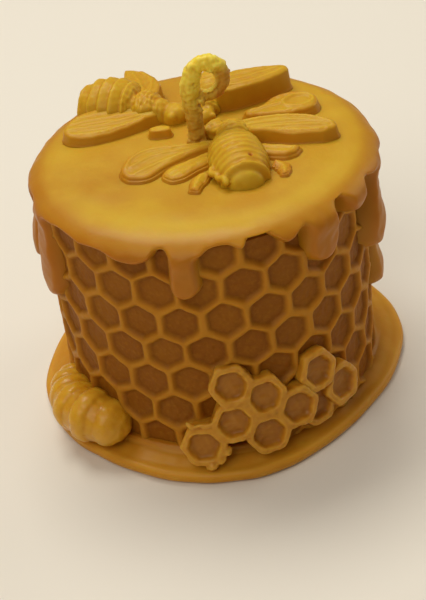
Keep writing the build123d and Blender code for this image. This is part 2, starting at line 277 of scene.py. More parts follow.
def ball(c, r, n=28, stretch=(1, 1, 1), turn=0.0):
    """Closed egg round c, radii r*stretch, turned about Z by turn degrees."""
    t = np.linspace(0.02, math.pi - 0.02, n)
    v, f = lathe((0, 0, 0), (0, 0, 1), -np.cos(t), np.sin(t), n=n, up=(0, 1, 0))
    v = v * (np.asarray(stretch, float) * r)
    ct, st = math.cos(math.radians(turn)), math.sin(math.radians(turn))
    v = np.stack([v[:, 0] * ct - v[:, 1] * st, v[:, 0] * st + v[:, 1] * ct, v[:, 2]], 1)
    return v + np.asarray(c, float), f


def tube(line, radii, n=16, squash=1.0):
    """Closed tube along a 3-D polyline with round ends. squash flattens it in Z."""
    p = np.asarray(line, float)
    r = np.broadcast_to(np.asarray(radii, float), (len(p),))
    t = np.gradient(p, axis=0)
    t /= np.linalg.norm(t, axis=1)[:, None]
    # round ends
    k = np.array([0.98, 0.8, 0.5, 0.2])
    p = np.vstack([p[0] - t[0] * r[0] * k[:, None], p, p[-1] + t[-1] * r[-1] * k[::-1, None]])
    q = np.sqrt(1 - k ** 2)
    r = np.concatenate([r[0] * q, r, r[-1] * q[::-1]])
    t = np.vstack([np.repeat(t[:1], 4, 0), t, np.repeat(t[-1:], 4, 0)])
    ref = np.array([0, 0, 1.0]) if abs(t[:, 2]).max() < 0.95 else np.array([0, 1.0, 0])
    s = np.cross(t, ref)
    s /= np.linalg.norm(s, axis=1)[:, None]
    u = np.cross(s, t)
    ph = np.linspace(0, 2 * math.pi, n, endpoint=False)
    v = (p[:, None] + r[:, None, None] * (np.cos(ph)[None, :, None] * s[:, None]
         + squash * np.sin(ph)[None, :, None] * u[:, None])).reshape(-1, 3)
    m = len(v)
    v = np.vstack([v, p[0], p[-1]])
    faces = [grid_faces(len(p), n), np.vstack([fan(m, np.arange(n), True), fan(m + 1, np.arange(n) + (len(p) - 1) * n)])]
    if volume(v, faces) < 0:
        faces = [f[:, ::-1] for f in faces]
    return v, faces


def knead(shells, voxel, smooth=3):
    """One skin round overlapping closed shells, as if pressed from one lump. Returns vertices and quads in mm."""
    vs, loops, sizes, n = [], [], [], 0
    for v, faces in shells:
        for f in faces:
            loops.append((f + n).ravel())
            sizes.append(np.full(len(f), f.shape[1]))
        vs.append(v)
        n += len(v)
    v = np.vstack(vs)
    sizes = np.concatenate(sizes)
    me = bpy.data.meshes.new("lump")
    me.vertices.add(len(v))
    me.vertices.foreach_set("co", v.astype(np.float32).ravel())
    loops = np.concatenate(loops).astype(np.int32)
    me.loops.add(len(loops))
    me.loops.foreach_set("vertex_index", loops)
    me.polygons.add(len(sizes))
    me.polygons.foreach_set("loop_start", np.concatenate([[0], np.cumsum(sizes)[:-1]]).astype(np.int32))
    me.update(calc_edges=True)
    o = bpy.data.objects.new("lump", me)
    bpy.context.scene.collection.objects.link(o)
    m = o.modifiers.new("r", "REMESH")
    m.mode = "VOXEL"
    m.voxel_size = voxel
    m.adaptivity = 0
    out = bpy.data.meshes.new_from_object(o.evaluated_get(bpy.context.evaluated_depsgraph_get()))
    v = np.empty(len(out.vertices) * 3, np.float32)
    out.vertices.foreach_get("co", v)
    v = v.reshape(-1, 3).astype(float)
    tot = np.empty(len(out.polygons), np.int32)
    out.polygons.foreach_get("loop_total", tot)
    li = np.empty(len(out.loops), np.int32)
    out.loops.foreach_get("vertex_index", li)
    start = np.concatenate([[0], np.cumsum(tot)[:-1]])
    faces = [li[start[tot == k][:, None] + np.arange(k)] for k in np.unique(tot)]
    bpy.data.objects.remove(o)
    bpy.data.meshes.remove(me)
    bpy.data.meshes.remove(out)
    e = edges_of(faces)
    for _ in range(smooth):
        v = blur(v, e, 1, 0.45)
        v = v + 0.55 * (v - blur(v, e, 1, 0.45)) if _ % 2 else v
    return v, faces


def settle(v, z):
    """Presses everything below z flat, where the piece is buried in what it lies on."""
    v = v.copy()
    v[:, 2] = np.where(v[:, 2] < z, z - 0.02 * np.tanh((z - v[:, 2])), v[:, 2])
    return v


def place(o, *nodes, slot="golden_wax"):
    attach(o, "root")
    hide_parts(*nodes)
    return o


# ---------------------------------------------------------------------------
# materials
# ---------------------------------------------------------------------------
def hexcol(r, g, b):
    """Linear colour from 0-255 display values."""
    return tuple(((c / 255 + 0.055) / 1.055) ** 2.4 if c > 10 else c / 255 / 12.92 for c in (r, g, b)) + (1,)


def wax(name, body, deep, pale, rough=0.42, sss=0.35, scale=0.0035, speckle=0.0, bump=0.05, coat=0.15):
    m = bpy.data.materials.new(name)
    m.use_nodes = True
    t = m.node_tree
    t.nodes.clear()
    N = t.nodes.new
    L = t.links.new
    out = N("ShaderNodeOutputMaterial")
    p = N("ShaderNodeBsdfPrincipled")
    L(p.outputs[0], out.inputs[0])
    tc = N("ShaderNodeTexCoord")

    def noise(size_mm, detail=3.0, rough_=0.55):
        n = N("ShaderNodeTexNoise")
        n.inputs["Scale"].default_value = 1000.0 / size_mm
        n.inputs["Detail"].default_value = detail
        n.inputs["Roughness"].default_value = rough_
        L(tc.outputs["Object"], n.inputs["Vector"])
        return n.outputs[0]

    def remap(x, a, b, c, d):
        r = N("ShaderNodeMapRange")
        r.inputs[1].default_value, r.inputs[2].default_value = a, b
        r.inputs[3].default_value, r.inputs[4].default_value = c, d
        L(x, r.inputs[0])
        return r.outputs[0]

    def math_(op, a, b, clamp=False):
        n = N("ShaderNodeMath")
        n.operation = op
        n.use_clamp = clamp
        for i, x in enumerate((a, b)):
            if isinstance(x, (int, float)):
                n.inputs[i].default_value = x
            else:
                L(x, n.inputs[i])
        return n.outputs[0]

    def mix(fac, a, b, mode="MIX"):
        n = N("ShaderNodeMix")
        n.data_type = "RGBA"
        n.blend_type = mode
        if isinstance(fac, (int, float)):
            n.inputs[0].default_value = fac
        else:
            L(fac, n.inputs[0])
        for i, x in ((6, a), (7, b)):
            if isinstance(x, tuple):
                n.inputs[i].default_value = x
            else:
                L(x, n.inputs[i])
        return n.outputs[2]

    def attr(key):
        a = N("ShaderNodeAttribute")
        a.attribute_name = key
        return a.outputs["Fac"]

    painted_light, shade_and_tone = attr("painted_light"), attr("shade_and_tone")
    big, mid, fine = noise(16, 2), noise(4.5, 3), noise(0.7, 4, 0.6)
    # painted shade: hollows go deeper in colour; painted highlight: ridges paler
    down = remap(painted_light, 0.0, -1.0, 0.0, 0.75)
    up = remap(painted_light, 0.0, 1.0, 0.0, 0.55)
    c = mix(remap(big, 0.35, 0.65, 0.0, 0.35), body, deep)
    c = mix(remap(mid, 0.45, 0.75, 0.0, 0.22), c, pale)
    c = mix(down, c, deep)
    c = mix(up, c, pale)
    # the darkening attribute pulls the colour towards the deep colour: mostly painted shade
    c = mix(math_("MULTIPLY", shade_and_tone, 1.0, True), c, deep)
    if speckle:
        c = mix(math_("MULTIPLY", remap(fine, 0.5, 0.72, 0.0, 1.0), speckle), c, pale)
    L(c, p.inputs["Base Color"])
    r = math_("ADD", remap(mid, 0.3, 0.7, -0.06, 0.06), remap(fine, 0.3, 0.7, rough - 0.04, rough + 0.05))
    L(r, p.inputs["Roughness"])
    p.inputs["IOR"].default_value = 1.44
    p.inputs["Specular IOR Level"].default_value = 0.22
    p.inputs["Subsurface Weight"].default_value = sss
    p.inputs["Subsurface Radius"].default_value = (1.0, 0.42, 0.1)
    p.inputs["Subsurface Scale"].default_value = scale
    p.inputs["Coat Weight"].default_value = coat
    p.inputs["Coat Roughness"].default_value = 0.22
    h = math_("ADD", math_("MULTIPLY", fine, 0.35), math_("MULTIPLY", noise(1.9, 3), 1.0))
    b = N("ShaderNodeBump")
    b.inputs["Strength"].default_value = 1.0
    b.inputs["Distance"].default_value = bump * MM
    L(h, b.inputs["Height"])
    L(b.outputs[0], p.inputs["Normal"])
    return m


GOLD = wax("golden_wax", hexcol(197, 151, 30), hexcol(168, 94, 12), hexcol(211, 177, 48), rough=0.46, coat=0.07)
FOOTWAX = wax("foot_wax", hexcol(200, 140, 32), hexcol(168, 102, 17), hexcol(214, 166, 60), rough=0.45, coat=0.06)
RELIEF = wax("relief_wax", hexcol(202, 161, 29), hexcol(178, 102, 12), hexcol(214, 182, 46), rough=0.46, sss=0.28, scale=0.003, coat=0.04)
HIVEWAX = wax("hive_wax", hexcol(208, 152, 30), hexcol(176, 106, 16), hexcol(222, 180, 56), rough=0.30, coat=0.2)
# darker, browner copy of the golden wax for the drum: painted shade on the shaded front wall
DRUM_SHADED_WAX = wax("drum_wax", hexcol(174, 114, 24), hexcol(124, 66, 10), hexcol(194, 136, 40), rough=0.55, speckle=0.18, bump=0.09, coat=0.03)
DRUM_SHADED_WAX.node_tree.nodes["Principled BSDF"].inputs["Specular IOR Level"].default_value = 0.10
COMB = wax("comb_wax", hexcol(192, 132, 30), hexcol(150, 88, 15), hexcol(210, 158, 52), rough=0.38, coat=0.15)
COTTON = wax("waxed_cotton", hexcol(240, 214, 62), hexcol(180, 118, 34), hexcol(246, 228, 104), rough=0.42, sss=0.25, scale=0.0015, bump=0.08, coat=0.1)


# ---------------------------------------------------------------------------
# foot
# ---------------------------------------------------------------------------
FOOT = [(-170, 34.3), (-155, 34.1), (-140, 34.6), (-122, 34.4), (-104, 34.0), (-88, 34.4), (-77, 34.3),
        (-65, 34.2), (-54, 34.0), (-42, 33.7), (-32, 33.7), (-24, 34.0), (-15, 34.1), (-5, 34.3), (5, 34.2),
        (14, 33.6), (23, 32.8), (34, 32.0), (46, 31.5), (58, 31.8), (68, 32.4), (81, 33.5), (92, 34.4),
        (101, 34.9), (112, 35.2), (130, 34.9), (145, 34.3), (160, 34.2), (175, 34.4)]


def make_foot():
    n = 900
    th = np.linspace(-180, 180, n, endpoint=False)
    R = ring_table(FOOT, th) + 0.12 * waves(polar(30, th, 0), 9, 3)
    top, rim_z = 3.22, 2.45                   # the top falls towards the edge
    rows = []                                 # (inset from the edge, z), from the middle of the underside round to the top
    rows += [("r", q, 0.0) for q in (3.0, 14.0, 24.0, 29.0)]
    for a in np.linspace(0, 90, 7):
        rows.append(("e", 1.35 * (1 - math.sin(math.radians(a))), 1.35 * (1 - math.cos(math.radians(a)))))
    rows.append(("e", 0.0, 1.55))
    for a in np.linspace(0, 90, 12)[1:]:
        rows.append(("e", 1.1 * (1 - math.cos(math.radians(a))), 1.65 + (rim_z - 1.65) * math.sin(math.radians(a))))
    for q in np.linspace(1.3, 6.6, 26):
        rows.append(("e", q, rim_z + (top - rim_z) * float(ease(0.8, 4.6, q))))
    rows += [("r", q, top) for q in (26.5, 24.0, 14.0, 3.0)]
    V = []
    for kind, q, z in rows:
        r = np.full(n, q) if kind == "r" else R - q
        p = polar(r, th, 0)
        zz = np.full(n, z)
        if z > 1.6:
            inset = R - r
            lift = ease(1.2, 2.6, inset)
            zz = zz + lift * (0.10 * waves(p, 11, 5) + 0.04 * waves(p, 3.4, 6))
            zz -= 0.12 * np.exp(-((inset - 2.0) / 0.9) ** 2) * (0.6 + 0.4 * waves(p, 14, 8))   # shallow trough behind the lip
            zz += 0.9 * np.exp(-np.maximum(r - DRUM_R, 0) / 0.55) * (z >= top - 0.01)          # wax creeps up the drum
        V.append(np.column_stack([p[:, :2], zz]))
    v = np.vstack(V)
    m = len(v)
    v = np.vstack([v, [0, 0, 0], [0, 0, top]])
    faces = [grid_faces(len(rows), n), np.vstack([fan(m, np.arange(n), True), fan(m + 1, np.arange(n) + (len(rows) - 1) * n)])]
    th_all = np.degrees(np.arctan2(v[:, 0], -v[:, 1]))
    r_all = np.hypot(v[:, 0], v[:, 1])
    inset = ring_table(FOOT, th_all) - r_all
    # painted highlight along the rounded lip, painted shade where the foot meets the drum
    painted_light = 0.55 * np.exp(-((inset - 0.75) / 0.5) ** 2) * (v[:, 2] > 1.5) - 0.9 * np.exp(-np.maximum(r_all - DRUM_R, 0) / 0.9)
    o = build("foot_wax_plate", v, faces, painted_light)
    o.data.materials.append(FOOTWAX)
    return place(o, "foot", slot="drum_wax")


# ---------------------------------------------------------------------------
# drum with its raised comb
# ---------------------------------------------------------------------------
def lattice(th, z):
    """Unrolled place on the comb lattice of a point on the drum."""
    s = math.sin(LATTICE_SLANT)
    v = z - ROW_B_Z
    u = np.radians(th - LATTICE_TH0)
    for _ in range(4):
        u = np.radians(th - LATTICE_TH0) + v / DRUM_R * s
        v = z - ROW_B_Z - FLOOR_R * s * np.sin(u)
    return u * FLOOR_R, v


def comb_edge(x, y):
    """Distance from the middle line of the nearest ridge, and a number for the cell."""
    best = None
    for odd in (0, 1):
        cx = (np.round(x / PITCH - 0.5 * odd) + 0.5 * odd) * PITCH
        cy = (2 * np.round((y / ROW_PITCH - odd) / 2) + odd) * ROW_PITCH
        dx, dy = x - cx, y - cy
        d2 = dx * dx + dy * dy
        if best is None:
            best = [d2, dx, dy, cx, cy]
        else:
            w = d2 < best[0]
            best = [np.where(w, a, b) for a, b in zip((d2, dx, dy, cx, cy), best)]
    _, dx, dy, cx, cy = best
    c, s = 0.5, math.sqrt(3) / 2
    a, b, e = np.abs(dx), np.abs(dx * c + dy * s), np.abs(dx * c - dy * s)
    m = smax(smax(a, b, 0.55), e, 0.55)
    return PITCH / 2 - m, dx, dy, cx, cy


def make_drum():
    n, rows = 960, 222
    th = np.linspace(-180, 180, n, endpoint=False)
    z = np.linspace(FOOT_T - 0.5, DRUM_TOP - 0.1, rows)
    TH, Z = np.meshgrid(th, z)
    TH, Z = TH.ravel(), Z.ravel()
    P = polar(28.4, TH, Z)
    x, y = lattice(TH, Z)
    x = x + 0.17 * waves(P, 13, 11) + 0.05 * waves(P, 4, 12)
    y = y + 0.17 * waves(P, 13, 13) + 0.05 * waves(P, 4, 14)
    d, dx, dy, cx, cy = comb_edge(x, y)
    wide = 0.10 * waves(P, 10, 15)
    h = 1 - ease(0.22 + wide, 1.12 + wide, d)
    crown = 1 - 0.10 * np.clip(d / 0.5, 0, 1) ** 2
    tall = 0.85 * (1 + 0.10 * waves(P, 12, 16))
    r = FLOOR_R + tall * h * crown
    floor = 1 - h
    r += floor * (0.045 * waves(P, 2.2, 17) + 0.03 * waves(P, 0.9, 18) - 0.10 * ease(0.9, 3.2, d))
    r += 0.03 * waves(P, 1.6, 19) * h
    r = np.minimum(r, DRUM_R + 0.12)
    v = polar(r, TH, Z)
    m = len(v)
    v = np.vstack([v, [0, 0, z[0]], [0, 0, z[-1]]])
    faces = [grid_faces(rows, n), np.vstack([fan(m, np.arange(n), True), fan(m + 1, np.arange(n) + (rows - 1) * n)])]
    rng = np.random.default_rng(21)
    table = rng.uniform(-1, 1, 4096)
    cell = table[(np.round(cx * 3.1).astype(int) * 31 + np.round(cy * 2.7).astype(int) * 57) % 4096]
    # painted highlight on the ridge tops, painted shade round the foot of each ridge and over the cell floors
    painted_light = np.concatenate([0.75 * h - 0.1 - 0.35 * np.exp(-((d - 1.05) / 0.4) ** 2) - 0.2 * floor, [0, 0]])
    # painted shade over the cell floors, with a random darkness per cell
    shade_and_tone = np.concatenate([floor * (0.55 + 0.12 * cell), [0, 0]])
    o = build("drum_with_comb_relief", v, faces, painted_light, shade_and_tone)
    o.data.materials.append(DRUM_SHADED_WAX)
    return place(o, "honeycomb_drum", slot="drum_wax")


# ---------------------------------------------------------------------------
# cap: flat top, soft shoulder, wax running down in drips
# ---------------------------------------------------------------------------
# (theta, half width at the neck, half width at the drop, lowest z, radius at the drop, lean of the drop in mm)
DRIPS = [(-11.0, 2.65, 2.9, 36.6, 30.7, 0.1), (37.4, 3.6, 3.9, 37.0, 30.7, 0.3), (55.5, 3.0, 3.2, 41.6, 30.4, 0),
         (76.0, 1.9, 4.7, 28.0, 31.9, 0), (89.0, 2.0, 4.1, 15.2, 31.5, 0), (112.0, 2.6, 3.3, 33.0, 30.5, 0.3),
         (131.0, 3.4, 4.5, 27.5, 30.8, 0), (150.0, 2.6, 3.0, 39.0, 30.4, 0), (167.0, 2.7, 3.8, 22.0, 30.9, -0.4),
         (-174.0, 3.2, 4.3, 36.0, 30.5, 0), (-156.0, 2.2, 3.0, 29.0, 30.5, 0.3), (-139.0, 3.6, 4.6, 34.5, 30.7, 0),
         (-121.0, 2.4, 3.2, 24.5, 30.6, 0), (-93.5, 3.4, 4.5, 29.0, 31.9, 0), (-73.5, 3.0, 5.2, 27.2, 31.1, -0.3)]
# lower edge of the sheet between the drips
LIP = [(-57, 45.2), (-51.5, 45.0), (-46.4, 44.6), (-38.6, 44.7), (-34.1, 43.8), (-28.4, 43.2), (-23.5, 43.6),
       (-20.9, 44.4), (-18.5, 46.1), (-16.6, 46.5), (-14.6, 46.2), (-9, 45.0), (-4.2, 45.2), (-1.8, 46.1), (1.9, 46.4),
       (4.6, 46.2), (6.4, 45.6), (8.0, 45.3), (9.3, 45.6), (10.8, 46.6), (12.4, 47.2), (14.5, 47.3), (17.0, 46.9), (19.8, 45.4),
       (22.2, 44.2), (25.5, 44.4), (28.6, 45.4), (31.5, 46.1), (44.4, 46.6), (47.2, 46.8), (50, 45.8), (55, 44.6), (60, 44.9),
       (63.5, 45.6), (67, 44.7), (74, 44.0), (84, 44.2), (93, 44.0), (103, 44.7), (112, 44.2), (121, 45.4), (131, 44.7),
       (141, 46.2), (150, 45.2), (159, 46.1), (167, 44.9), (177, 46.2), (-174, 45.0), (-165, 46.3), (-156, 45.2), (-148, 46.0),
       (-139, 44.9), (-130, 46.0), (-121, 44.6), (-111, 45.0), (-101, 44.2), (-93, 44.0), (-84, 44.9), (-79, 44.9), (-72, 44.3),
       (-62, 44.9)]


def make_cap():
    n = 900
    th = np.linspace(-180, 180, n, endpoint=False)
    lip = ring_table(LIP, th)
    flat = np.concatenate([[0.6], np.linspace(1.5, 25.0, 30)])
    path = [(q, CAP_TOP) for q in flat]       # the flat sags a little towards the shoulder, added below
    # soft shoulder: a squarish quarter round from the flat down to the widest line
    ph = np.linspace(0, math.pi / 2, 400)
    sx, sz = 25.0 + 6.0 * np.sin(ph) ** (2 / 2.15), 44.5 + (CAP_TOP - 44.5) * np.cos(ph) ** (2 / 2.15)
    run = np.concatenate([[0], np.cumsum(np.hypot(np.diff(sx), np.diff(sz)))])
    for q in np.linspace(0, run[-1], 34)[1:]:
        path.append((float(np.interp(q, run, sx)), float(np.interp(q, run, sz))))
    zlow, rlow = path[-1][1], path[-1][0]
    zs = np.arange(zlow - 0.2, 13.0, -0.21)
    path += [(None, q) for q in zs]
    V, D = [], []
    arc = np.radians(th) * 30.3
    dl = np.gradient(lip, arc)
    for q, zq in path:
        d = (zq - lip) / np.sqrt(1 + dl ** 2)
        swell = np.zeros(n)
        for t0, wn, wb, zb, rb, lean in DRIPS:
            a = (((th - t0) + 180) % 360 - 180) * math.pi / 180 * 30.3
            near = np.abs(a) < wb + 5
            zc = zb + wb
            hh = np.clip((46.5 - zq) / (46.5 - zc), 0, 1)
            w = wn + (wb - wn) * float(ease(0.15, 1.0, hh)) if zq > zc else wb
            aa = a - lean * hh
            dd = w - np.abs(aa) if zq > zc else wb - np.hypot(aa, zc - zq)
            d = np.where(near & (zq < 48.1), smax(d, dd, 1.4 * float(ease(39, 43, zq)) + 0.35), d)
            if t0 == 89.0:                    # this run is thin above its heavy end
                swell -= 1.15 * np.exp(-(aa / 3.6) ** 2) * math.exp(-((zq - 27.0) / 4.2) ** 2)
            swell += (rb - 30.25) * np.exp(-(aa / (0.85 * wb)) ** 2 - ((zq - zc) / (1.35 * wb if zq > zc else 1.1 * wb)) ** 2) * near
        if q is None:
            R = 30.25 + (rlow - 30.25) * math.exp(-((zlow - zq) / 1.8) ** 2) + 0.0 * th
        else:
            R = np.full(n, q)
        P = polar(30.0, th, zq)
        wob = 0.10 * waves(P, 7, 31) + 0.05 * waves(P, 2.6, 32)
        if q is None or q > 27:
            R = R + swell + wob * ease(27, 30, R)
            wr = 1.55
            T = 1 - (1 - np.clip(d / wr, 0, 1)) ** 2.2
            base = 28.15
            r = np.where(d > 0, base + (R - base) * T, base + np.maximum(2.3 * d, -1.6))
            # the shoulder itself keeps its round outline; only its underside is scalloped
            keep = ease(46.9, 47.5, zq)
            r = np.maximum(r, R - 0.15 * (1 - keep) - 3.6 * (1 - keep) ** 2)
        else:
            r = R
        V.append((r, zq))
        D.append(d)
    rr = np.array([a for a, _ in V])
    zz = np.array([[b] * n for _, b in V])
    P = polar(rr.ravel(), np.tile(th, len(path)), zz.ravel())
    top = ease(26.5, 24.0, rr.ravel()) if False else 1 - ease(24.0, 29.5, rr.ravel())
    P[:, 2] += top * (0.05 * waves(P, 15, 33) + 0.025 * waves(P, 5, 34) - 0.05)
    P[:, 2] -= 0.26 * ease(19.5, 27.0, rr.ravel()) * ease(44.6, 47.4, P[:, 2])
    P[:, 0] += CAP_X * ease(20.0, 47.0, zz.ravel())
    m = len(P)
    F = grid_faces(len(path), n)
    # keep only the wax that shows or is just buried, and give it an inner skin
    shown = (rr.ravel() > 27.0) | (zz.ravel() > 46.9) | (np.arange(m) < n * (len(flat) + 25 + 4))
    F = F[shown[F].any(1)]
    k = np.arange(m) // n
    depth = np.clip((k - len(flat)) / (25 + 8), 0, 1)
    ri = np.where(k < len(flat), np.minimum(rr.ravel(), 25.0), 25.0 + 1.9 * depth)
    zi = np.where(k < len(flat) + 33, 45.7 - 0.9 * depth, zz.ravel() - 0.6)
    Q = polar(ri, np.tile(th, len(path)), zi)
    Q[:, 0] += CAP_X * ease(20.0, 47.0, zi)
    v = np.vstack([P, Q, [[CAP_X, 0, CAP_TOP]], [[CAP_X, 0, 45.7]]])
    e = np.concatenate([np.stack([F[:, j], F[:, (j + 1) % 4]], 1) for j in range(4)])
    key = np.sort(e, axis=1)
    uq, inv, cnt = np.unique(key, axis=0, return_inverse=True, return_counts=True)
    edge = e[cnt[inv.ravel()] == 1]
    ring = np.arange(n)
    first = np.isin(edge, ring).all(1)
    edge = edge[~first]
    walls = np.stack([edge[:, 1], edge[:, 0], edge[:, 0] + m, edge[:, 1] + m], 1)
    faces4 = np.vstack([F, F[:, ::-1] + m, walls])
    faces3 = np.vstack([fan(2 * m, ring, True), fan(2 * m + 1, ring + m)])
    used = np.unique(np.concatenate([faces4.ravel(), faces3.ravel()]))
    remap = np.full(len(v), -1)
    remap[used] = np.arange(len(used))
    v = v[used]
    dd = np.concatenate([np.array(D).ravel(), np.full(m + 2, 3.0)])[used]
    faces = [remap[faces4], remap[faces3]]
    # painted shade along the lower edge of the sheet and its drips
    painted_light = -0.6 * np.exp(-(np.maximum(dd, 0) / 0.45) ** 2) * (v[:, 2] < 47.2)
    # painted highlight: a pale band along the upper shoulder, strongest at the front
    rv = np.hypot(v[:, 0] - CAP_X, v[:, 1])
    front = np.clip(-v[:, 1] / np.maximum(rv, 1), 0, 1)
    painted_light += (0.25 + 0.65 * front ** 1.5) * np.exp(-((rv - 24.6) / 2.1) ** 2) * (v[:, 2] > 46.6)
    # painted shade: darker over the shoulder and darker still low on the lip
    side = ease(26.8, 29.2, rv) * 0.46 + ease(28.5, 30.4, rv) * 0.32 * ease(47.2, 45.0, v[:, 2])
    o = build("cap_with_drips", v, faces, painted_light, side)
    o.data.materials.append(GOLD)
    return place(o, "drip_cap")


# ---------------------------------------------------------------------------
# wings, legs and other low reliefs: an outline with a modelled top
# ---------------------------------------------------------------------------
def slab(name, outline, height, painted_top_fn, z0=CAP_TOP, edge=0.6, step=0.26, flare=0.24, slots="golden_wax", nodes=(), n=None, draft=0.25):
    """A closed raised piece. height(p) is the top above z0 at 2-D points p; the function after it gives the painted
    highlight and shade on the top there.
    """
    loop = closed_curve(outline, 400)
    per = np.linalg.norm(np.roll(loop, -1, 0) - loop, axis=1).sum()
    n = n or int(per / 0.24)
    loop = closed_curve(outline, n)
    area = 0.5 * np.sum(loop[:, 0] * np.roll(loop[:, 1], -1) - np.roll(loop[:, 0], -1) * loop[:, 1])
    if area < 0:
        loop = loop[::-1]
    tang = np.roll(loop, -1, 0) - np.roll(loop, 1, 0)
    nrm = np.stack([tang[:, 1], -tang[:, 0]], 1)
    nrm /= np.linalg.norm(nrm, axis=1)[:, None]
    ph = np.arange(n) / n * 2 * math.pi
    wob = 0.06 * waves(np.column_stack([loop, 0 * ph]), 2.5, len(name) + int(abs(loop[0, 0]) * 10))
    loop = loop + nrm * wob[:, None]
    H = height(loop - nrm * edge)
    rows = [(flare * 0.8, -0.45 + 0 * H), (flare, 0.0 * H - 0.03), (flare * 0.55, 0.07 + 0 * H), (flare * 0.25, 0.2 + 0 * H),
            (flare * 0.06, 0.4 + 0 * H)]
    lo, hi = 0.4, np.maximum(H - edge, 0.46)
    for t in (0.33, 0.66, 1.0):
        rows.append((-draft * t, lo + (hi - lo) * t))
    for a in (18, 36, 54, 72, 88):
        a = math.radians(a)
        rows.append((-draft - (edge - draft * 0.3) * (1 - math.cos(a)), hi + (H - hi) * math.sin(a)))
    V = [np.column_stack([loop + nrm * off, z0 + z]) for off, z in rows]
    rim = V[-1][:, :2]
    x0, y0 = rim.min(0)
    x1, y1 = rim.max(0)
    gx, gy = np.meshgrid(np.arange(x0, x1, step), np.arange(y0, y1, step * 0.866))
    gx = gx + (np.arange(gx.shape[0])[:, None] % 2) * step / 2
    g = np.column_stack([gx.ravel(), gy.ravel()])
    g = g[inside(g, rim)]
    if len(g):
        dist, _ = to_lines(g, np.vstack([rim, rim[:1]]))
        g = g[dist > step * 0.7]
    pts = np.vstack([rim, g])
    rim_edges = [(i, (i + 1) % n) for i in range(n)]
    out = delaunay_2d_cdt([Vector(p) for p in pts], rim_edges, [], 1, 1e-6)
    q = np.array([tuple(p) for p in out[0]])
    tri = np.array([f for f in out[2] if len(f) == 3])
    # map the rim points back to their wall vertices
    orig = np.array([o[0] if o else -1 for o in out[3]])
    base = len(rows) * n
    idx = np.where((orig >= 0) & (orig < n), base - n + orig, 0)
    extra = np.where((orig < 0) | (orig >= n))[0]
    idx[extra] = base + np.arange(len(extra))
    zt = height(q[extra])
    d_rim, _ = to_lines(q[extra], np.vstack([rim, rim[:1]]))
    hr = height(rim)
    top = np.column_stack([q[extra], z0 + zt])
    v = np.vstack(V + [top])
    walls = grid_faces(len(rows), n)
    bottom = np.arange(n)[::-1][None, :]
    ci = len(v)
    v = np.vstack([v, [[*loop.mean(0), z0 - 0.45]]])
    tri = idx[tri]
    faces = [walls, np.vstack([tri, fan(ci, np.arange(n), True)])]
    # the triangulated top must turn the same way as the walls
    a, b, c = (v[tri[0, k]] for k in range(3))
    if np.cross(b - a, c - a)[2] < 0:
        faces[1][:len(tri)] = tri[:, ::-1]
    shade_highlight = np.zeros(len(v))
    zz = v[:, 2] - z0
    # painted shade low on the piece, where it meets what it lies on
    shade_highlight += -0.4 * np.exp(-np.maximum(zz, 0) / 0.35)
    tops = np.zeros(len(v), bool)
    tops[base:-1] = True
    # the top takes the painted highlight and shade given for it
    if painted_top_fn is not None:
        shade_highlight[tops] = painted_top_fn(v[tops][:, :2])
    # slight painted highlight on the rounded top edge
    shade_highlight[base - 3 * n:base] = 0.1
    # walls darker towards the bottom: painted shade
    shade_and_tone = np.where(tops, 0.0, 0.52 * (1 - np.clip(zz / 4.5, 0, 1)))
    o = build(name, v, faces, shade_highlight, shade_and_tone)
    o.data.materials.append(RELIEF)
    return place(o, *nodes)


def vein_field(p, veins):
    """Raised lines: each vein is (points, half width, height), fading to its end."""
    h = np.zeros(len(p))
    for pts, w, amp in veins:
        line = open_curve(pts, 24)
        d, s = to_lines(p, line)
        h = smax(h, amp * (1 - 0.35 * s) * np.exp(-(d / w) ** 2), 0.03)
    return h


FRONT_L_FORE = [(4.0, -0.5), (-2, -0.8), (-8, -0.5), (-11.4, -2.3), (-13.5, -5.4), (-13.2, -8.1), (-11.4, -9.5),
                (-8.8, -9.5), (-6.2, -7.6), (-2, -4.8), (3.2, -2.8)]
FRONT_L_HIND = [(2.2, -3.2), (-1.0, -4.8), (-4.6, -6.4), (-6.3, -8.2), (-6.1, -9.9), (-4.7, -11.1), (-2.8, -10.7),
                (-0.6, -9.0), (2.8, -6.4)]
FRONT_R_FORE = [(8, 3.3), (13.5, 3.7), (18, 3.0), (22, 1.2), (24.4, -0.9), (24.5, -2.9), (22.6, -3.9), (21, -4.0),
                (17, -3.3), (12.6, -1.8), (9, -0.6)]
FRONT_R_HIND = [(10.2, -2.9), (12.8, -3.6), (16.0, -4.9), (17.7, -5.6), (17.3, -6.9), (16.4, -7.9), (14.6, -8.3),
                (12.4, -7.5), (10.4, -6.4)]
LEFT_NEAR = [(-5.4, 10.6), (-7.6, 9.0), (-11.2, 7.2), (-15.6, 5.8), (-19.6, 5.5), (-22.5, 6.7), (-23.4, 8.8),
             (-22.2, 11.4), (-19.6, 13.6), (-14.5, 14.4), (-9, 13.6)]
LEFT_FAR = [(-6.4, 14.8), (-4.8, 18.4), (-5.4, 21.6), (-7.4, 24.6), (-9.6, 26.3), (-11.5, 26.5), (-11.8, 25.0),
            (-11.6, 22.0), (-9.8, 17.0)]
REAR_FORE = [(4.6, 11.6), (7.2, 11.4), (10, 12.0), (14.8, 14.0), (18, 16.2), (18.6, 17.6), (17.4, 19.2), (13, 19.8),
             (8, 19.4), (5, 16)]
REAR_HIND = [(9.2, 8.6), (11.7, 9.2), (14.8, 11.8), (18.0, 12.9), (21.0, 12.4), (22.6, 9.9), (22.0, 6.6),
             (18.4, 5.2), (13.6, 5.4), (9.6, 6.3)]


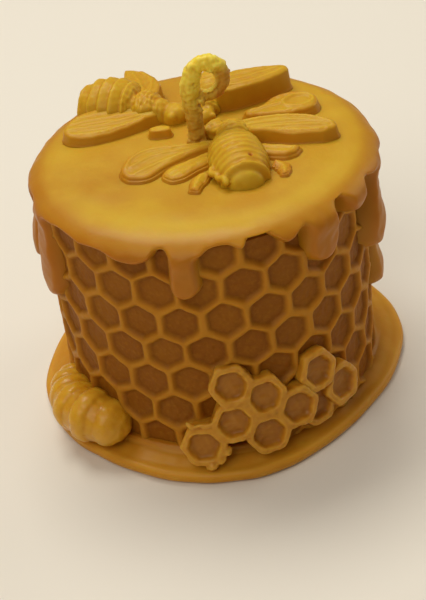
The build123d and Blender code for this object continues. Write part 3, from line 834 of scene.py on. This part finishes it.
def wing(name, node, outline, high, root, tip, veins, slope=0.25, camber=0.25, rim=0.22, dish=0.0, tilt=0.0, seed=0):
    root, tip = np.asarray(root, float), np.asarray(tip, float)
    axis = (tip - root) / np.linalg.norm(tip - root)
    L = np.linalg.norm(tip - root)
    perp = np.array([-axis[1], axis[0]])
    perp = perp if perp[1] < 0 else -perp
    loop = closed_curve(outline, 160)
    lp = np.vstack([loop, loop[:1]])

    def parts(p):
        t = np.clip(((p - root) @ axis) / L, -0.2, 1.2)
        d, _ = to_lines(p, lp)
        return t, d, vein_field(p, veins)

    def height(p):
        t, d, vf = parts(p)
        across = (p - root) @ perp
        base = high * (1 - slope * t) - tilt * across - camber * np.clip(1 - d / 2.6, 0, 1) ** 2
        edge_line = rim * np.exp(-((d - 0.85) / 0.35) ** 2)
        return base + vf + edge_line - dish * ease(0.8, 2.0, d) + 0.03 * waves(np.column_stack([p, 0 * t]), 1.6, seed + 3)

    def colour(p):
        t, d, vf = parts(p)
        # painted highlight on the raised veins and the rim line, painted shade on the membrane away from the veins
        return 0.9 * vf + 0.22 * np.exp(-((d - 0.85) / 0.4) ** 2) - 0.15 * np.exp(-(vf / 0.05))

    return slab(name, outline, height, colour, nodes=(node,))


def make_wings():
    wing("front_bee_left_forewing_relief", "front_bee_left_forewing", FRONT_L_FORE,
         1.45, (4, -1.8), (-13.2, -7.2),
         [([(3, -1.5), (-3, -1.7), (-8.2, -1.8), (-11.4, -3.8), (-12.4, -6.4)], 0.36, 0.30),
          ([(3, -2.0), (-3, -2.8), (-8.0, -3.8), (-11.6, -6.2)], 0.34, 0.30),
          ([(2.6, -2.4), (-2.6, -4.0), (-7.2, -6.0), (-11.0, -8.2)], 0.36, 0.30),
          ([(-4.4, -2.3), (-7.4, -2.8), (-10.6, -4.6)], 0.24, 0.18)], slope=0.06, tilt=0.11, rim=0.14, seed=1)
    wing("front_bee_left_hindwing_relief", "front_bee_left_hindwing", FRONT_L_HIND,
         1.15, (2.6, -5.0), (-5.4, -10.4),
         [([(1.6, -4.5), (-1.8, -6.2), (-5.0, -9.0)], 0.38, 0.20), ([(1.8, -5.7), (-1.4, -8.0), (-4.4, -10.0)], 0.36, 0.18)],
         slope=0.1, camber=0.4, rim=0.08, tilt=0.03, seed=2)
    wing("front_bee_right_forewing_relief", "front_bee_right_forewing", FRONT_R_FORE,
         2.25, (8, 0.8), (24.6, -1.8),
         [([(8.4, 2.3), (13, 2.6), (18, 1.9), (22.0, 0.1), (23.6, -1.4)], 0.38, 0.34),
          ([(8.4, 1.3), (13, 1.3), (18, 0.7), (22.8, -0.9)], 0.34, 0.34),
          ([(8.8, 0.2), (13, -0.1), (18, -0.8), (23.0, -1.9)], 0.34, 0.36),
          ([(9.4, -0.5), (13.2, -1.2), (18, -2.5), (22.8, -3.0)], 0.28, 0.42)],
         slope=-0.02, camber=0.18, tilt=0.11, rim=0.18, seed=3)
    wing("front_bee_right_hindwing_relief", "front_bee_right_hindwing", FRONT_R_HIND,
         1.1, (10.3, -4.6), (17, -6.8),
         [([(11, -4.4), (14, -5.4), (16.8, -6.2)], 0.34, 0.22), ([(11, -5.6), (13.6, -6.8), (15.4, -7.4)], 0.34, 0.2)],
         slope=-0.1, camber=0.2, rim=0.22, tilt=0.0, seed=4)
    wing("left_bee_near_wing_relief", "left_bee_near_wing", LEFT_NEAR,
         2.2, (-6, 10.8), (-23.2, 8.6),
         [([(-6.6, 10.8), (-11, 9.8), (-16.6, 8.8), (-22.2, 8.6)], 0.36, 0.30),
          ([(-7.0, 10.2), (-10.6, 8.4), (-15.6, 7.0), (-20.9, 6.9)], 0.36, 0.30),
          ([(-8.6, 11.2), (-14.0, 10.9), (-19.0, 10.6), (-22.0, 10.2)], 0.32, 0.26),
          ([(-8.4, 12.0), (-12.6, 12.4), (-17.0, 12.4), (-20.4, 11.9)], 0.32, 0.26),
          ([(-12, 9.6), (-16.4, 9.8), (-20.6, 9.5)], 0.24, 0.2), ([(-10.4, 12.8), (-13.6, 13.3), (-17, 13.3)], 0.26, 0.18),
          ([(-13.4, 7.8), (-17.0, 7.8), (-20.4, 7.8)], 0.22, 0.18)],
         slope=0.1, camber=0.3, tilt=0.11, rim=0.14, seed=5)
    wing("left_bee_far_wing_relief", "left_bee_far_wing", LEFT_FAR,
         3.2, (-7.6, 15.4), (-10.0, 26),
         [([(-7.2, 15.8), (-6.6, 20.4), (-8.2, 24.6)], 0.42, 0.32), ([(-8.2, 16.2), (-8.8, 20.4), (-10.0, 24.6)], 0.42, 0.32)],
         slope=0.0, rim=0.15, seed=6)
    wing("rear_bee_forewing_relief", "rear_bee_forewing", REAR_FORE,
         4.0, (5.0, 14.4), (18.4, 17.6),
         [([(6.0, 13.2), (10, 13.6), (14.4, 15.4), (17.4, 17.0)], 0.40, 0.40),
          ([(6.0, 14.8), (10, 15.6), (14, 17.0), (16.6, 18.0)], 0.40, 0.36),
          ([(6.4, 16.4), (10, 17.6), (14, 18.6)], 0.38, 0.3)], slope=0.0, tilt=-0.02, rim=0.15, seed=7)
    wing("rear_bee_hindwing_relief", "rear_bee_hindwing", REAR_HIND,
         1.45, (9.6, 7.6), (23.0, 9.4),
         [([(16.2, 9.4), (18.4, 11.0), (21.0, 10.6), (21.8, 8.8), (20.0, 7.2), (17.4, 7.4), (16.2, 8.8), (16.6, 9.8)], 0.42, 0.45),
          ([(10.6, 8.0), (13.4, 8.6), (16.0, 9.2)], 0.36, 0.34), ([(11, 6.4), (15, 6.2), (19, 6.0)], 0.34, 0.30),
          ([(12.4, 9.8), (15.2, 11.4), (18.4, 12.4)], 0.34, 0.30)],
         slope=-0.1, camber=0.25, rim=0.12, seed=8)


def leaf(name, node, line, w, h, seed):
    """A leg pressed flat: a tapering ridge with broken edges."""
    c = open_curve(line, 30)
    t = np.gradient(c, axis=0)
    t /= np.linalg.norm(t, axis=1)[:, None]
    nn = np.stack([-t[:, 1], t[:, 0]], 1)
    s = np.linspace(0, 1, 30)
    half = w / 2 * (0.55 + 0.6 * np.sin(math.pi * np.clip(s * 0.9 + 0.12, 0, 1))) * (1 + 0.16 * waves(np.column_stack([s * 7, s]), 2.0, seed))
    out = np.vstack([c + nn * half[:, None], (c - nn * half[:, None])[::-1]])[::4]

    def height(p):
        d, a = to_lines(p, c)
        return h * (1.0 - 0.25 * a) - 0.45 * h * np.clip(d / (w * 0.5), 0, 1.2) ** 2 + 0.12 * np.exp(-(d / 0.2) ** 2) + 0.05 * waves(np.column_stack([p, 0 * a]), 1.3, seed)

    # painted highlight along the ridge of the leg
    return slab(name, out, height, lambda p: 0.35 * np.exp(-(to_lines(p, c)[0] / 0.4) ** 2), nodes=(node,), edge=0.35, flare=0.25, draft=0.15, step=0.22)


def make_legs():
    leaf("front_bee_left_leg_relief", "front_bee_left_leg", [(1.0, -10.2), (-0.5, -12.4), (-1.5, -15.4)], 2.3, 1.1, 41)
    leaf("front_bee_right_leg_relief", "front_bee_right_leg", [(12.4, -9.2), (14.0, -10.8), (14.0, -13.8)], 2.0, 0.9, 42)
    # the top gets a slight, even painted highlight
    slab("left_bee_leg_relief", [(-7.8, 6.6), (-6.0, 6.8), (-4.3, 6.6), (-4.0, 5.6), (-4.3, 4.7), (-6.0, 4.6), (-7.9, 4.9), (-8.1, 5.8)],
         lambda p: 1.5 + 0.12 * waves(np.column_stack([p, 0 * p[:, :1]]), 2.0, 43), lambda p: 0.0 * p[:, 0] + 0.1,
         nodes=("left_bee_leg",), edge=0.32, flare=0.24, draft=0.2, step=0.22)


# ---------------------------------------------------------------------------
# bees
# ---------------------------------------------------------------------------
def bee(p, heading, length, R, lift, thorax, head, rings, amp, rim_at, seed, tail=0.74, extra=()):
    """Body of a bee lying on the cap. p is the waist, thorax and head are (x, y, z above the cap, radius)."""
    h = math.radians(heading)
    dip = math.radians(2)
    ax = np.array([math.sin(h) * math.cos(dip), -math.cos(h) * math.cos(dip), -math.sin(dip)])
    p0 = np.array([p[0], p[1], CAP_TOP + lift])
    side = np.array([math.cos(h), math.sin(h), 0])
    up = np.cross(side, ax)
    if up[2] < 0:
        up = -up
    t = np.linspace(0, length, 170)
    u = t / length
    prof = np.interp(u, [0, 0.08, 0.2, 0.35, 0.5, 0.62, 0.74, rim_at, 1.0],
                     [0.60, 0.78, 0.93, 1.0, 0.995, 0.96, 0.89, tail, tail])
    prof = np.convolve(np.pad(prof, 7, mode="edge"), np.ones(15) / 15, "valid")
    at = (u / rim_at) * rings
    saw = at % 1
    band = np.where(u < rim_at, amp * (1.25 * saw ** 0.8 * (1 - ease(0.84, 1.0, saw)) - 0.45), 0)
    # raised ring round the tail, a groove, then the domed face of the tail
    k = np.clip((u - rim_at - 0.02) / (1 - rim_at - 0.02), 0, 1)
    dome = np.where(u > rim_at + 0.02, np.sqrt(np.clip(1 - k ** 2.3, 0, 1)), 1.0)
    face = np.where(u > rim_at + 0.02, 0.80, 1.0)
    face = np.convolve(np.pad(face, 2, mode="edge"), np.ones(5) / 5, "valid")
    ring = 0.30 * np.exp(-((u - rim_at + 0.012) / 0.026) ** 2)
    r = np.maximum((prof * R + band) * face * dome + ring, 0.04)
    shells = [lathe(p0, ax, t, r, side=1.0, tall=0.97, n=104)]
    for (x, y, z, rr), sq in ((thorax, 1.0), (head, 1.0)):
        shells.append(ball((x, y, CAP_TOP + z), rr, 30, (1.05, 1.0, 0.95), heading))
    tc = np.array([thorax[0], thorax[1], CAP_TOP + thorax[2]])
    hc = np.array([head[0], head[1], CAP_TOP + head[2]])
    # neck
    shells.append(tube(np.linspace(tc, hc, 12), np.linspace(thorax[3] * 0.72, head[3] * 0.8, 12), 28))
    face_dir = (hc - tc) / np.linalg.norm(hc - tc)
    eye_side = np.cross(face_dir, (0, 0, 1.0))
    for sgn in (-1, 1):
        shells.append(ball(hc + face_dir * 0.25 * head[3] + eye_side * sgn * 0.72 * head[3] + np.array([0, 0, 0.35 * head[3]]), 0.42 * head[3], 18))
    shells.extend(extra)
    v, faces = knead(shells, 0.17, 4)
    w = (v - tc) @ ax
    near = np.clip(1.25 - np.linalg.norm(v - tc, axis=1) / (thorax[3] * 1.25), 0, 1) ** 0.5
    nr = normals(v, faces)
    if volume(v, faces) < 0:
        nr = -nr
    fuzz = 0.075 * np.sin(w * 2 * math.pi / 0.8 + 1.6 * waves(v, 3.0, seed)) + 0.14 * waves(v, 1.4, seed + 1)
    v = v + nr * ((near * fuzz + 0.04 * waves(v, 1.8, seed + 2) + 0.05 * waves(v, 4.0, seed + 3))[:, None])
    v = settle(v, CAP_TOP - 0.35)
    # painted shade in the hollows, painted highlight on the ridges
    shade_highlight = -hollow(v, faces, 0.8) / 0.24
    zz = v[:, 2] - CAP_TOP
    # painted shade where the body meets the cap
    shade_highlight = shade_highlight - 0.4 * np.exp(-np.maximum(zz, 0) / 0.5)
    # darker towards the bottom: painted shade
    shade_and_tone = 0.12 * (1 - np.clip(zz / 4.5, 0, 1))
    return v, faces, shade_highlight, shade_and_tone, (p0, ax, side, up)


def make_bees():
    # front bee: broad ringed abdomen whose tail faces the front, with a torn flake of wax at its left
    edge = open_curve([(2.0, -10.6, CAP_TOP + 1.5), (1.9, -11.8, CAP_TOP + 1.3), (2.7, -12.6, CAP_TOP + 1.6), (2.9, -13.7, CAP_TOP + 1.4),
                       (3.8, -14.4, CAP_TOP + 1.7), (4.1, -15.3, CAP_TOP + 1.4)], 40)
    flake = [tube(edge, 0.55 + 0.08 * np.sin(np.linspace(0, 9, 40)), 16)]
    v, f, shade_highlight, shade_and_tone, (p0, ax, side, up) = bee((6.0, -1.4), 6.5, 14.9, 5.05, 0.45, (6.6, 0.7, 0.9, 2.95), (3.7, 3.5, 0.75, 2.05),
                                              9, 0.24, 0.86, 51, 0.76, flake)
    # pin-hole in the wax; its hollow is also painted dark as painted shade
    hole = p0 + ax * 10.6 + side * 1.75 + up * 4.6
    i = np.argmin(np.linalg.norm(v - hole, axis=1))
    d = np.linalg.norm(v - v[i], axis=1)
    v = v - 0.8 * np.exp(-(d / 0.27) ** 2)[:, None] * up
    # painted highlight towards the front end of the tail
    shade_highlight = shade_highlight + 0.8 * ease(v[:, 1].min() + 2.4, v[:, 1].min() + 0.8, v[:, 1])
    shade_highlight = shade_highlight - 3 * np.exp(-(d / 0.34) ** 2)
    shade_and_tone = shade_and_tone + 1.3 * np.exp(-(d / 0.34) ** 2)
    o = build("front_bee_body_sculpt", v, f, shade_highlight, shade_and_tone)
    o.data.materials.append(RELIEF)
    place(o, "front_bee_body")
    # left bee: fewer, deeper bands
    v, f, shade_highlight, shade_and_tone, _ = bee((-9.0, 15.2), -114, 11.6, 5.7, 0.35, (-8.0, 13.8, 1.2, 3.4), (-3.2, 11.0, 0.6, 2.45), 5, 0.5, 0.95, 61, 0.66,
                             [ball((-5.8, 12.3, CAP_TOP + 0.9), 2.6, 22), ball((-2.6, 10.1, CAP_TOP + 1.3), 1.6, 16)])
    o = build("left_bee_body_sculpt", v, f, shade_highlight, shade_and_tone)
    o.data.materials.append(RELIEF)
    place(o, "left_bee_body")
    v, f, shade_highlight, shade_and_tone, _ = bee((3.6, 14.4), 172, 8.6, 3.6, 0.5, (3.2, 12.4, 0.6, 2.3), (2.4, 9.2, 0.4, 1.7), 5, 0.3, 0.9, 71)
    o = build("rear_bee_body_sculpt", v, f, shade_highlight, shade_and_tone)
    o.data.materials.append(RELIEF)
    place(o, "rear_bee_body")


# ---------------------------------------------------------------------------
# wick
# ---------------------------------------------------------------------------
def make_wick():
    y = 1.5
    stem = open_curve([(0.0, y, 2), (0.0, y, 30), (0.3, y, 50), (0.3, y, 53.5), (0.05, y, 56.5), (0.1, y, 59)], 60)
    loop = open_curve([(0.0, y, 56.5), (0.1, y, 58.6), (0.55, y + 0.05, 60.9), (1.5, y + 0.1, 62.8), (3.4, y, 63.55), (5.1, y - 0.05, 63.0),
                       (6.05, y, 61.3), (5.85, y + 0.1, 59.4), (4.7, y + 0.2, 57.8), (3.0, y + 0.35, 57.1), (1.4, y + 0.45, 57.3)], 120)
    fat = np.interp(np.linspace(0, 1, 120), [0, 0.15, 0.3, 0.45, 0.6, 0.75, 1], [1.5, 1.65, 1.55, 1.35, 1.2, 1.15, 1.1])
    shells = [tube(stem, np.interp(np.linspace(0, 1, 60), [0, 0.8, 0.9, 1], [1.45, 1.4, 1.5, 1.55]), 24)]
    shells.append(tube(loop, fat + 0.06 * waves(loop, 3.0, 81), 24))
    # the cord's end curls on inside the loop
    curl = open_curve([(4.6, y - 0.5, 62.0), (5.0, y - 0.75, 60.8), (4.6, y - 0.8, 59.5), (3.7, y - 0.7, 58.6), (2.6, y - 0.5, 58.3)], 40)
    shells.append(tube(curl, 0.36, 12))
    for c, r in (((0.9, y - 0.5, 63.3), 0.85), ((2.7, y - 0.2, 64.1), 0.62), ((4.9, y - 0.2, 64.2), 0.6), ((3.9, y - 0.9, 62.6), 0.55),
                 ((6.9, y - 0.1, 61.6), 0.5), ((0.0, y - 1.0, 59.2), 0.75), ((1.9, y - 0.9, 56.9), 0.55), ((1.5, y - 0.8, 55.2), 0.5),
                 ((2.1, y - 0.9, 56.1), 0.36), ((-0.9, y - 0.5, 48.9), 0.8), ((0.9, y - 0.7, 48.8), 0.9), ((0.0, y - 1.0, 48.6), 0.8)):
        shells.append(ball(c, r, 16))
    v, faces = knead(shells, 0.16, 3)
    nr = normals(v, faces)
    if volume(v, faces) < 0:
        nr = -nr
    # braid showing through the wax
    c = np.array([3.9, y, 60.5])
    ang = np.arctan2(v[:, 2] - c[2], v[:, 0] - c[0])
    up_ = v[:, 2] > 57.3
    s = np.where(up_, ang * 3.0, v[:, 2])
    lat = np.where(up_, np.hypot(v[:, 0] - c[0], v[:, 2] - c[2]), v[:, 0])
    braid = np.sin(2 * math.pi * (s + 0.55 * (v[:, 1] - y)) / 1.5) * np.sin(2 * math.pi * (s - 0.55 * (v[:, 1] - y)) / 1.5 + lat)
    v = v + nr * (0.06 * braid + 0.09 * waves(v, 2.0, 82) + 0.05 * waves(v, 1.0, 83))[:, None]
    v[:, 2] = np.minimum(v[:, 2], 64.95)
    # painted shade in the hollows of the braid, painted highlight on its ridges
    shade_highlight = -hollow(v, faces, 0.7) / 0.14
    # painted shade: darker down the stem, on the lower right of the loop and inside the loop
    shade_and_tone = 0.7 * (1 - ease(52.5, 60.0, v[:, 2])) + 0.85 * ease(3.4, 5.8, v[:, 0]) * (1 - ease(61.5, 63.5, v[:, 2])) + 0.3 * ease(1.2, 2.4, v[:, 0]) * (1 - ease(57.6, 58.8, v[:, 2]))
    o = build("wick_with_loop", v, faces, shade_highlight, shade_and_tone)
    o.data.materials.append(COTTON)
    place(o, "wick", slot="waxed_cotton")


# ---------------------------------------------------------------------------
# loose comb
# ---------------------------------------------------------------------------
def hexring(n, apothem, round_, turn):
    """Outline of a hexagon with rounded corners, n points."""
    ph = np.linspace(0, 2 * math.pi, n, endpoint=False)
    q = np.stack([np.cos(ph), np.sin(ph)], 1)
    dirs = np.radians(turn + np.array([0, 60, 120, 180, 240, 300]))
    proj = q @ np.stack([np.cos(dirs), np.sin(dirs)])
    k = round_
    m = np.log(np.exp(np.clip(proj, 0, None) * k).sum(1)) / k   # soft maximum
    m /= m.min()
    return q / m[:, None] * apothem * 1.0


COMB_R, COMB_Z, COMB_SLOPE = 31.6, 12.0, 0.185    # the loose comb leans out at the foot


def comb_chart(a, s, h):
    """Point of the leaning comb surface: a mm round it, s mm up it from COMB_Z, h mm out of it."""
    beta = math.atan(COMB_SLOPE)
    r = COMB_R - s * math.sin(beta) + h * math.cos(beta)
    th = a / COMB_R
    return np.stack([r * np.sin(th), -r * np.cos(th), COMB_Z + s * math.cos(beta) + h * math.sin(beta)], -1)


def cup(th, z, lift, back, outer=4.2, hole=2.85, depth=1.2, turn=4, seed=0):
    """One cell of comb as a closed cup on that surface."""
    a0 = math.radians(th) * COMB_R
    s0 = (z - COMB_Z) / math.cos(math.atan(COMB_SLOPE))
    n = 84
    sharp, soft = hexring(n, 1.0, 16, turn + 30), hexring(n, 1.0, 10, turn + 30)
    rows = [(0.92 * outer, -back, sharp), (outer, -back + 0.3, sharp), (outer, -back * 0.5, sharp)]
    for b in np.linspace(0, 90, 7):
        b = math.radians(b)
        rows.append((outer - 0.55 * (1 - math.cos(b)), -0.5 + 0.5 * math.sin(b), sharp))
    rows.append((hole + 0.62, -0.10, soft))
    rows.append((hole + 0.42, -0.02, soft))
    for b in np.linspace(90, 0, 6):
        b = math.radians(b)
        rows.append((hole + 0.25 * math.sin(b) - 0.05, -0.35 + 0.38 * math.sin(b), soft))
    rows += [(hole - 0.14, -0.7, soft), (hole - 0.26, -depth + 0.3, soft), (hole - 0.5, -depth + 0.07, soft),
             (hole - 0.8, -depth, soft), (hole * 0.45, -depth - 0.03, soft)]
    V = []
    for w, h, shape in rows:
        q = shape * w
        V.append(comb_chart(a0 + q[:, 0], s0 + q[:, 1], lift + h))
    v = np.vstack(V)
    m = len(v)
    v = np.vstack([v, comb_chart(np.array([a0]), np.array([s0]), lift - back), comb_chart(np.array([a0]), np.array([s0]), lift - depth - 0.04)])
    faces = [grid_faces(len(rows), n), np.vstack([fan(m, np.arange(n), True), fan(m + 1, np.arange(n) + (len(rows) - 1) * n)])]
    if volume(v, faces) < 0:
        faces = [f[:, ::-1] for f in faces]
    return v, faces


def make_comb(name, node, cells, extra, seed):
    shells = [cup(th, z, lift, back) for th, z, lift, back in cells] + list(extra)
    v, faces = knead(shells, 0.18, 3)
    nr = normals(v, faces)
    if volume(v, faces) < 0:
        nr = -nr
    v = v + nr * (0.07 * waves(v, 3.2, seed) + 0.035 * waves(v, 1.2, seed + 1))[:, None]
    v = settle(v, FOOT_T - 1.0)
    # nothing inside the drum's own wall is needed
    r = np.hypot(v[:, 0], v[:, 1])
    k = np.maximum(r, 27.3) / r
    v[:, 0] *= k
    v[:, 1] *= k
    # painted shade in the hollows, painted highlight on the ridges
    shade_highlight = -hollow(v, faces, 0.8) / 0.16
    th = np.arctan2(v[:, 0], -v[:, 1])
    beta = math.atan(COMB_SLOPE)
    r = np.hypot(v[:, 0], v[:, 1])
    h = (r - COMB_R) * math.cos(beta) + (v[:, 2] - COMB_Z) * math.sin(beta)
    s_ = -(r - COMB_R) * math.sin(beta) + (v[:, 2] - COMB_Z) * math.cos(beta)
    # painted shade inside each cell's hole
    shade_and_tone = np.zeros(len(v))
    for t0, z0, lift, _ in cells:
        lat = np.hypot(th * COMB_R - math.radians(t0) * COMB_R, s_ - (z0 - COMB_Z) / math.cos(beta))
        shade_and_tone = np.maximum(shade_and_tone, 0.55 * (1 - ease(1.9, 2.9, lat)) * ease(-0.35, -0.95, h - lift) * (h - lift > -2.2))
    o = build(name, v, faces, shade_highlight, shade_and_tone)
    o.data.materials.append(COMB)
    place(o, node, slot="comb_wax")


def make_combs():
    front = [(0.7, 18.6, 0.15, 3.6), (11.3, 15.4, 0.1, 3.6), (21.5, 11.4, 0.1, 3.9), (0.3, 11.6, 0.1, 4.2),
             (10.8, 8.2, 0.0, 4.6), (-10.1, 7.4, 0.1, 4.8)]
    torn = open_curve([(-1.3, -32.0, 6.3), (-2.3, -32.3, 5.5), (-2.6, -32.4, 4.8), (-3.6, -32.5, 4.4), (-4.0, -32.6, 3.7), (-5.4, -32.6, 3.2)], 40)
    burr = open_curve([(-7.9, -30.3, 11.9), (-7.0, -30.8, 11.3), (-5.8, -31.0, 11.6), (-4.6, -31.1, 11.5), (-3.6, -31.3, 11.9)], 40)
    bits = [tube(torn, 0.62 + 0.22 * np.sin(np.linspace(0, 17, 40)), 16), tube(burr, 0.42 + 0.14 * np.sin(np.linspace(0, 11, 40)), 14)]
    make_comb("front_comb_sculpt", "front_comb", front, bits, 91)
    side = [(31.5, 16.2, -0.15, 3.2), (40.6, 10.9, -0.65, 3.0), (30.2, 9.2, -1.5, 3.0)]
    make_comb("side_comb_sculpt", "side_comb", side, [], 95)


# ---------------------------------------------------------------------------
# ribbed hive lying on its side
# ---------------------------------------------------------------------------
def make_hive():
    # fat straw coils, each a flattened ball, along an axis that bends round the candle
    coils = [(-21.9, -21.2, 4.35, 3.3), (-25.0, -19.2, 5.0, 2.5), (-27.3, -16.1, 4.85, 2.5), (-28.3, -12.5, 4.4, 2.4),
             (-28.7, -9.2, 3.85, 2.2), (-28.6, -6.3, 3.2, 2.0)]
    c = np.array([[x, y, FOOT_T + 0.86 * r] for x, y, r, _ in coils])
    shells = []
    for i, (x, y, r, half) in enumerate(coils):
        ax = c[min(i + 1, 5)] - c[max(i - 1, 0)]
        ax = ax / np.linalg.norm(ax)
        t = np.linspace(-half, half, 60)
        w = 2.1 if i == 0 else 2.7
        shells.append(lathe(c[i] - ax * half, ax, t + half, np.maximum(r * (1 - np.abs(t / half) ** w) ** (1 / w), 0.04), side=1.0, tall=1.0, n=96))
    shells.append(tube(c, np.array([4.1, 4.65, 4.45, 4.0, 3.4, 2.7]), 40))
    v, faces = knead(shells, 0.2, 2)
    nr = normals(v, faces)
    if volume(v, faces) < 0:
        nr = -nr
    v = v + nr * (0.08 * waves(v, 5.0, 101) + 0.03 * waves(v, 1.8, 102))[:, None]
    v = settle(v, FOOT_T - 1.1)
    rr = np.hypot(v[:, 0], v[:, 1])
    k = np.maximum(rr, 27.0) / rr
    v[:, 0] *= k
    v[:, 1] *= k
    # painted shade in the grooves between coils, painted highlight on their tops
    shade_highlight = -hollow(v, faces, 1.0) / 0.2
    zz = v[:, 2] - FOOT_T
    # painted shade where the hive meets the foot, and darker towards the bottom as painted shade
    shade_highlight -= 0.7 * np.exp(-np.maximum(zz, 0) / 0.7)
    o = build("ribbed_hive_sculpt", v, faces, shade_highlight, 0.15 * (1 - np.clip(zz / 6, 0, 1)))
    o.data.materials.append(HIVEWAX)
    place(o, "ribbed_hive")


make_foot()
make_drum()
make_cap()
make_wings()
make_legs()
make_bees()
make_wick()
make_combs()
make_hive()

# ---------------------------------------------------------------------------
# floor, light, camera
# ---------------------------------------------------------------------------
floor_v = np.array([[-1500, -1500, 0], [1500, -1500, 0], [1500, 1500, 0], [-1500, 1500, 0]], float)
me = bpy.data.meshes.new("floor")
me.from_pydata([tuple(p * MM) for p in floor_v], [], [(0, 1, 2, 3)])
floor = bpy.data.objects.new("floor", me)
bpy.context.scene.collection.objects.link(floor)
fm = bpy.data.materials.new("pale_floor")
fm.use_nodes = True
fp = fm.node_tree.nodes["Principled BSDF"]
fp.inputs["Base Color"].default_value = (0.80, 0.755, 0.665, 1)
fp.inputs["Roughness"].default_value = 0.9
floor.data.materials.append(fm)


def area(name, at, to, size, power, colour=(1, 1, 1)):
    d = bpy.data.lights.new(name, "AREA")
    d.shape = "RECTANGLE"
    d.size, d.size_y = size
    d.energy = power
    d.color = colour
    o = bpy.data.objects.new(name, d)
    o.location = at
    o.rotation_euler = (Vector(to) - Vector(at)).to_track_quat("-Z", "Y").to_euler()
    bpy.context.scene.collection.objects.link(o)
    return o


area("key", (-0.10, 0.24, 0.60), (0, 0, 0.03), (0.42, 0.26), 2.7, (1.0, 0.96, 0.88))
fill = area("fill", (-0.28, -0.42, 0.62), (0, 0, 0.02), (0.6, 0.5), 2.15, (1.0, 0.93, 0.84))
fill.data.specular_factor = 0.35
area("rim", (0.55, 0.25, 0.30), (0, 0, 0.03), (0.3, 0.4), 0.8, (1.0, 0.95, 0.88))
world = bpy.data.worlds.new("soft_room")
world.use_nodes = True
world.node_tree.nodes["Background"].inputs[0].default_value = (1.0, 0.95, 0.87, 1)
world.node_tree.nodes["Background"].inputs[1].default_value = 0.20
bpy.context.scene.world = world

bpy.context.scene.view_settings.view_transform = "Standard"

cam = bpy.data.objects.new("camera", bpy.data.cameras.new("camera"))
right = Vector((0.99114429, -0.07532165, -0.10936014))
down = Vector((-0.13276547, -0.57769647, -0.80538197))
ahead = Vector((-0.00251427, 0.81276899, -0.58258067))
rot = Matrix((right, -down, -ahead)).transposed().to_4x4()
cam.matrix_world = Matrix.Translation((0.0, -0.24199428, 0.18882737)) @ rot
cam.data.sensor_fit = "VERTICAL"
cam.data.sensor_height = 24.0
cam.data.lens = 64.0
cam.data.clip_start = 0.01
cam.data.clip_end = 10.0
bpy.context.scene.collection.objects.link(cam)
bpy.context.scene.camera = cam
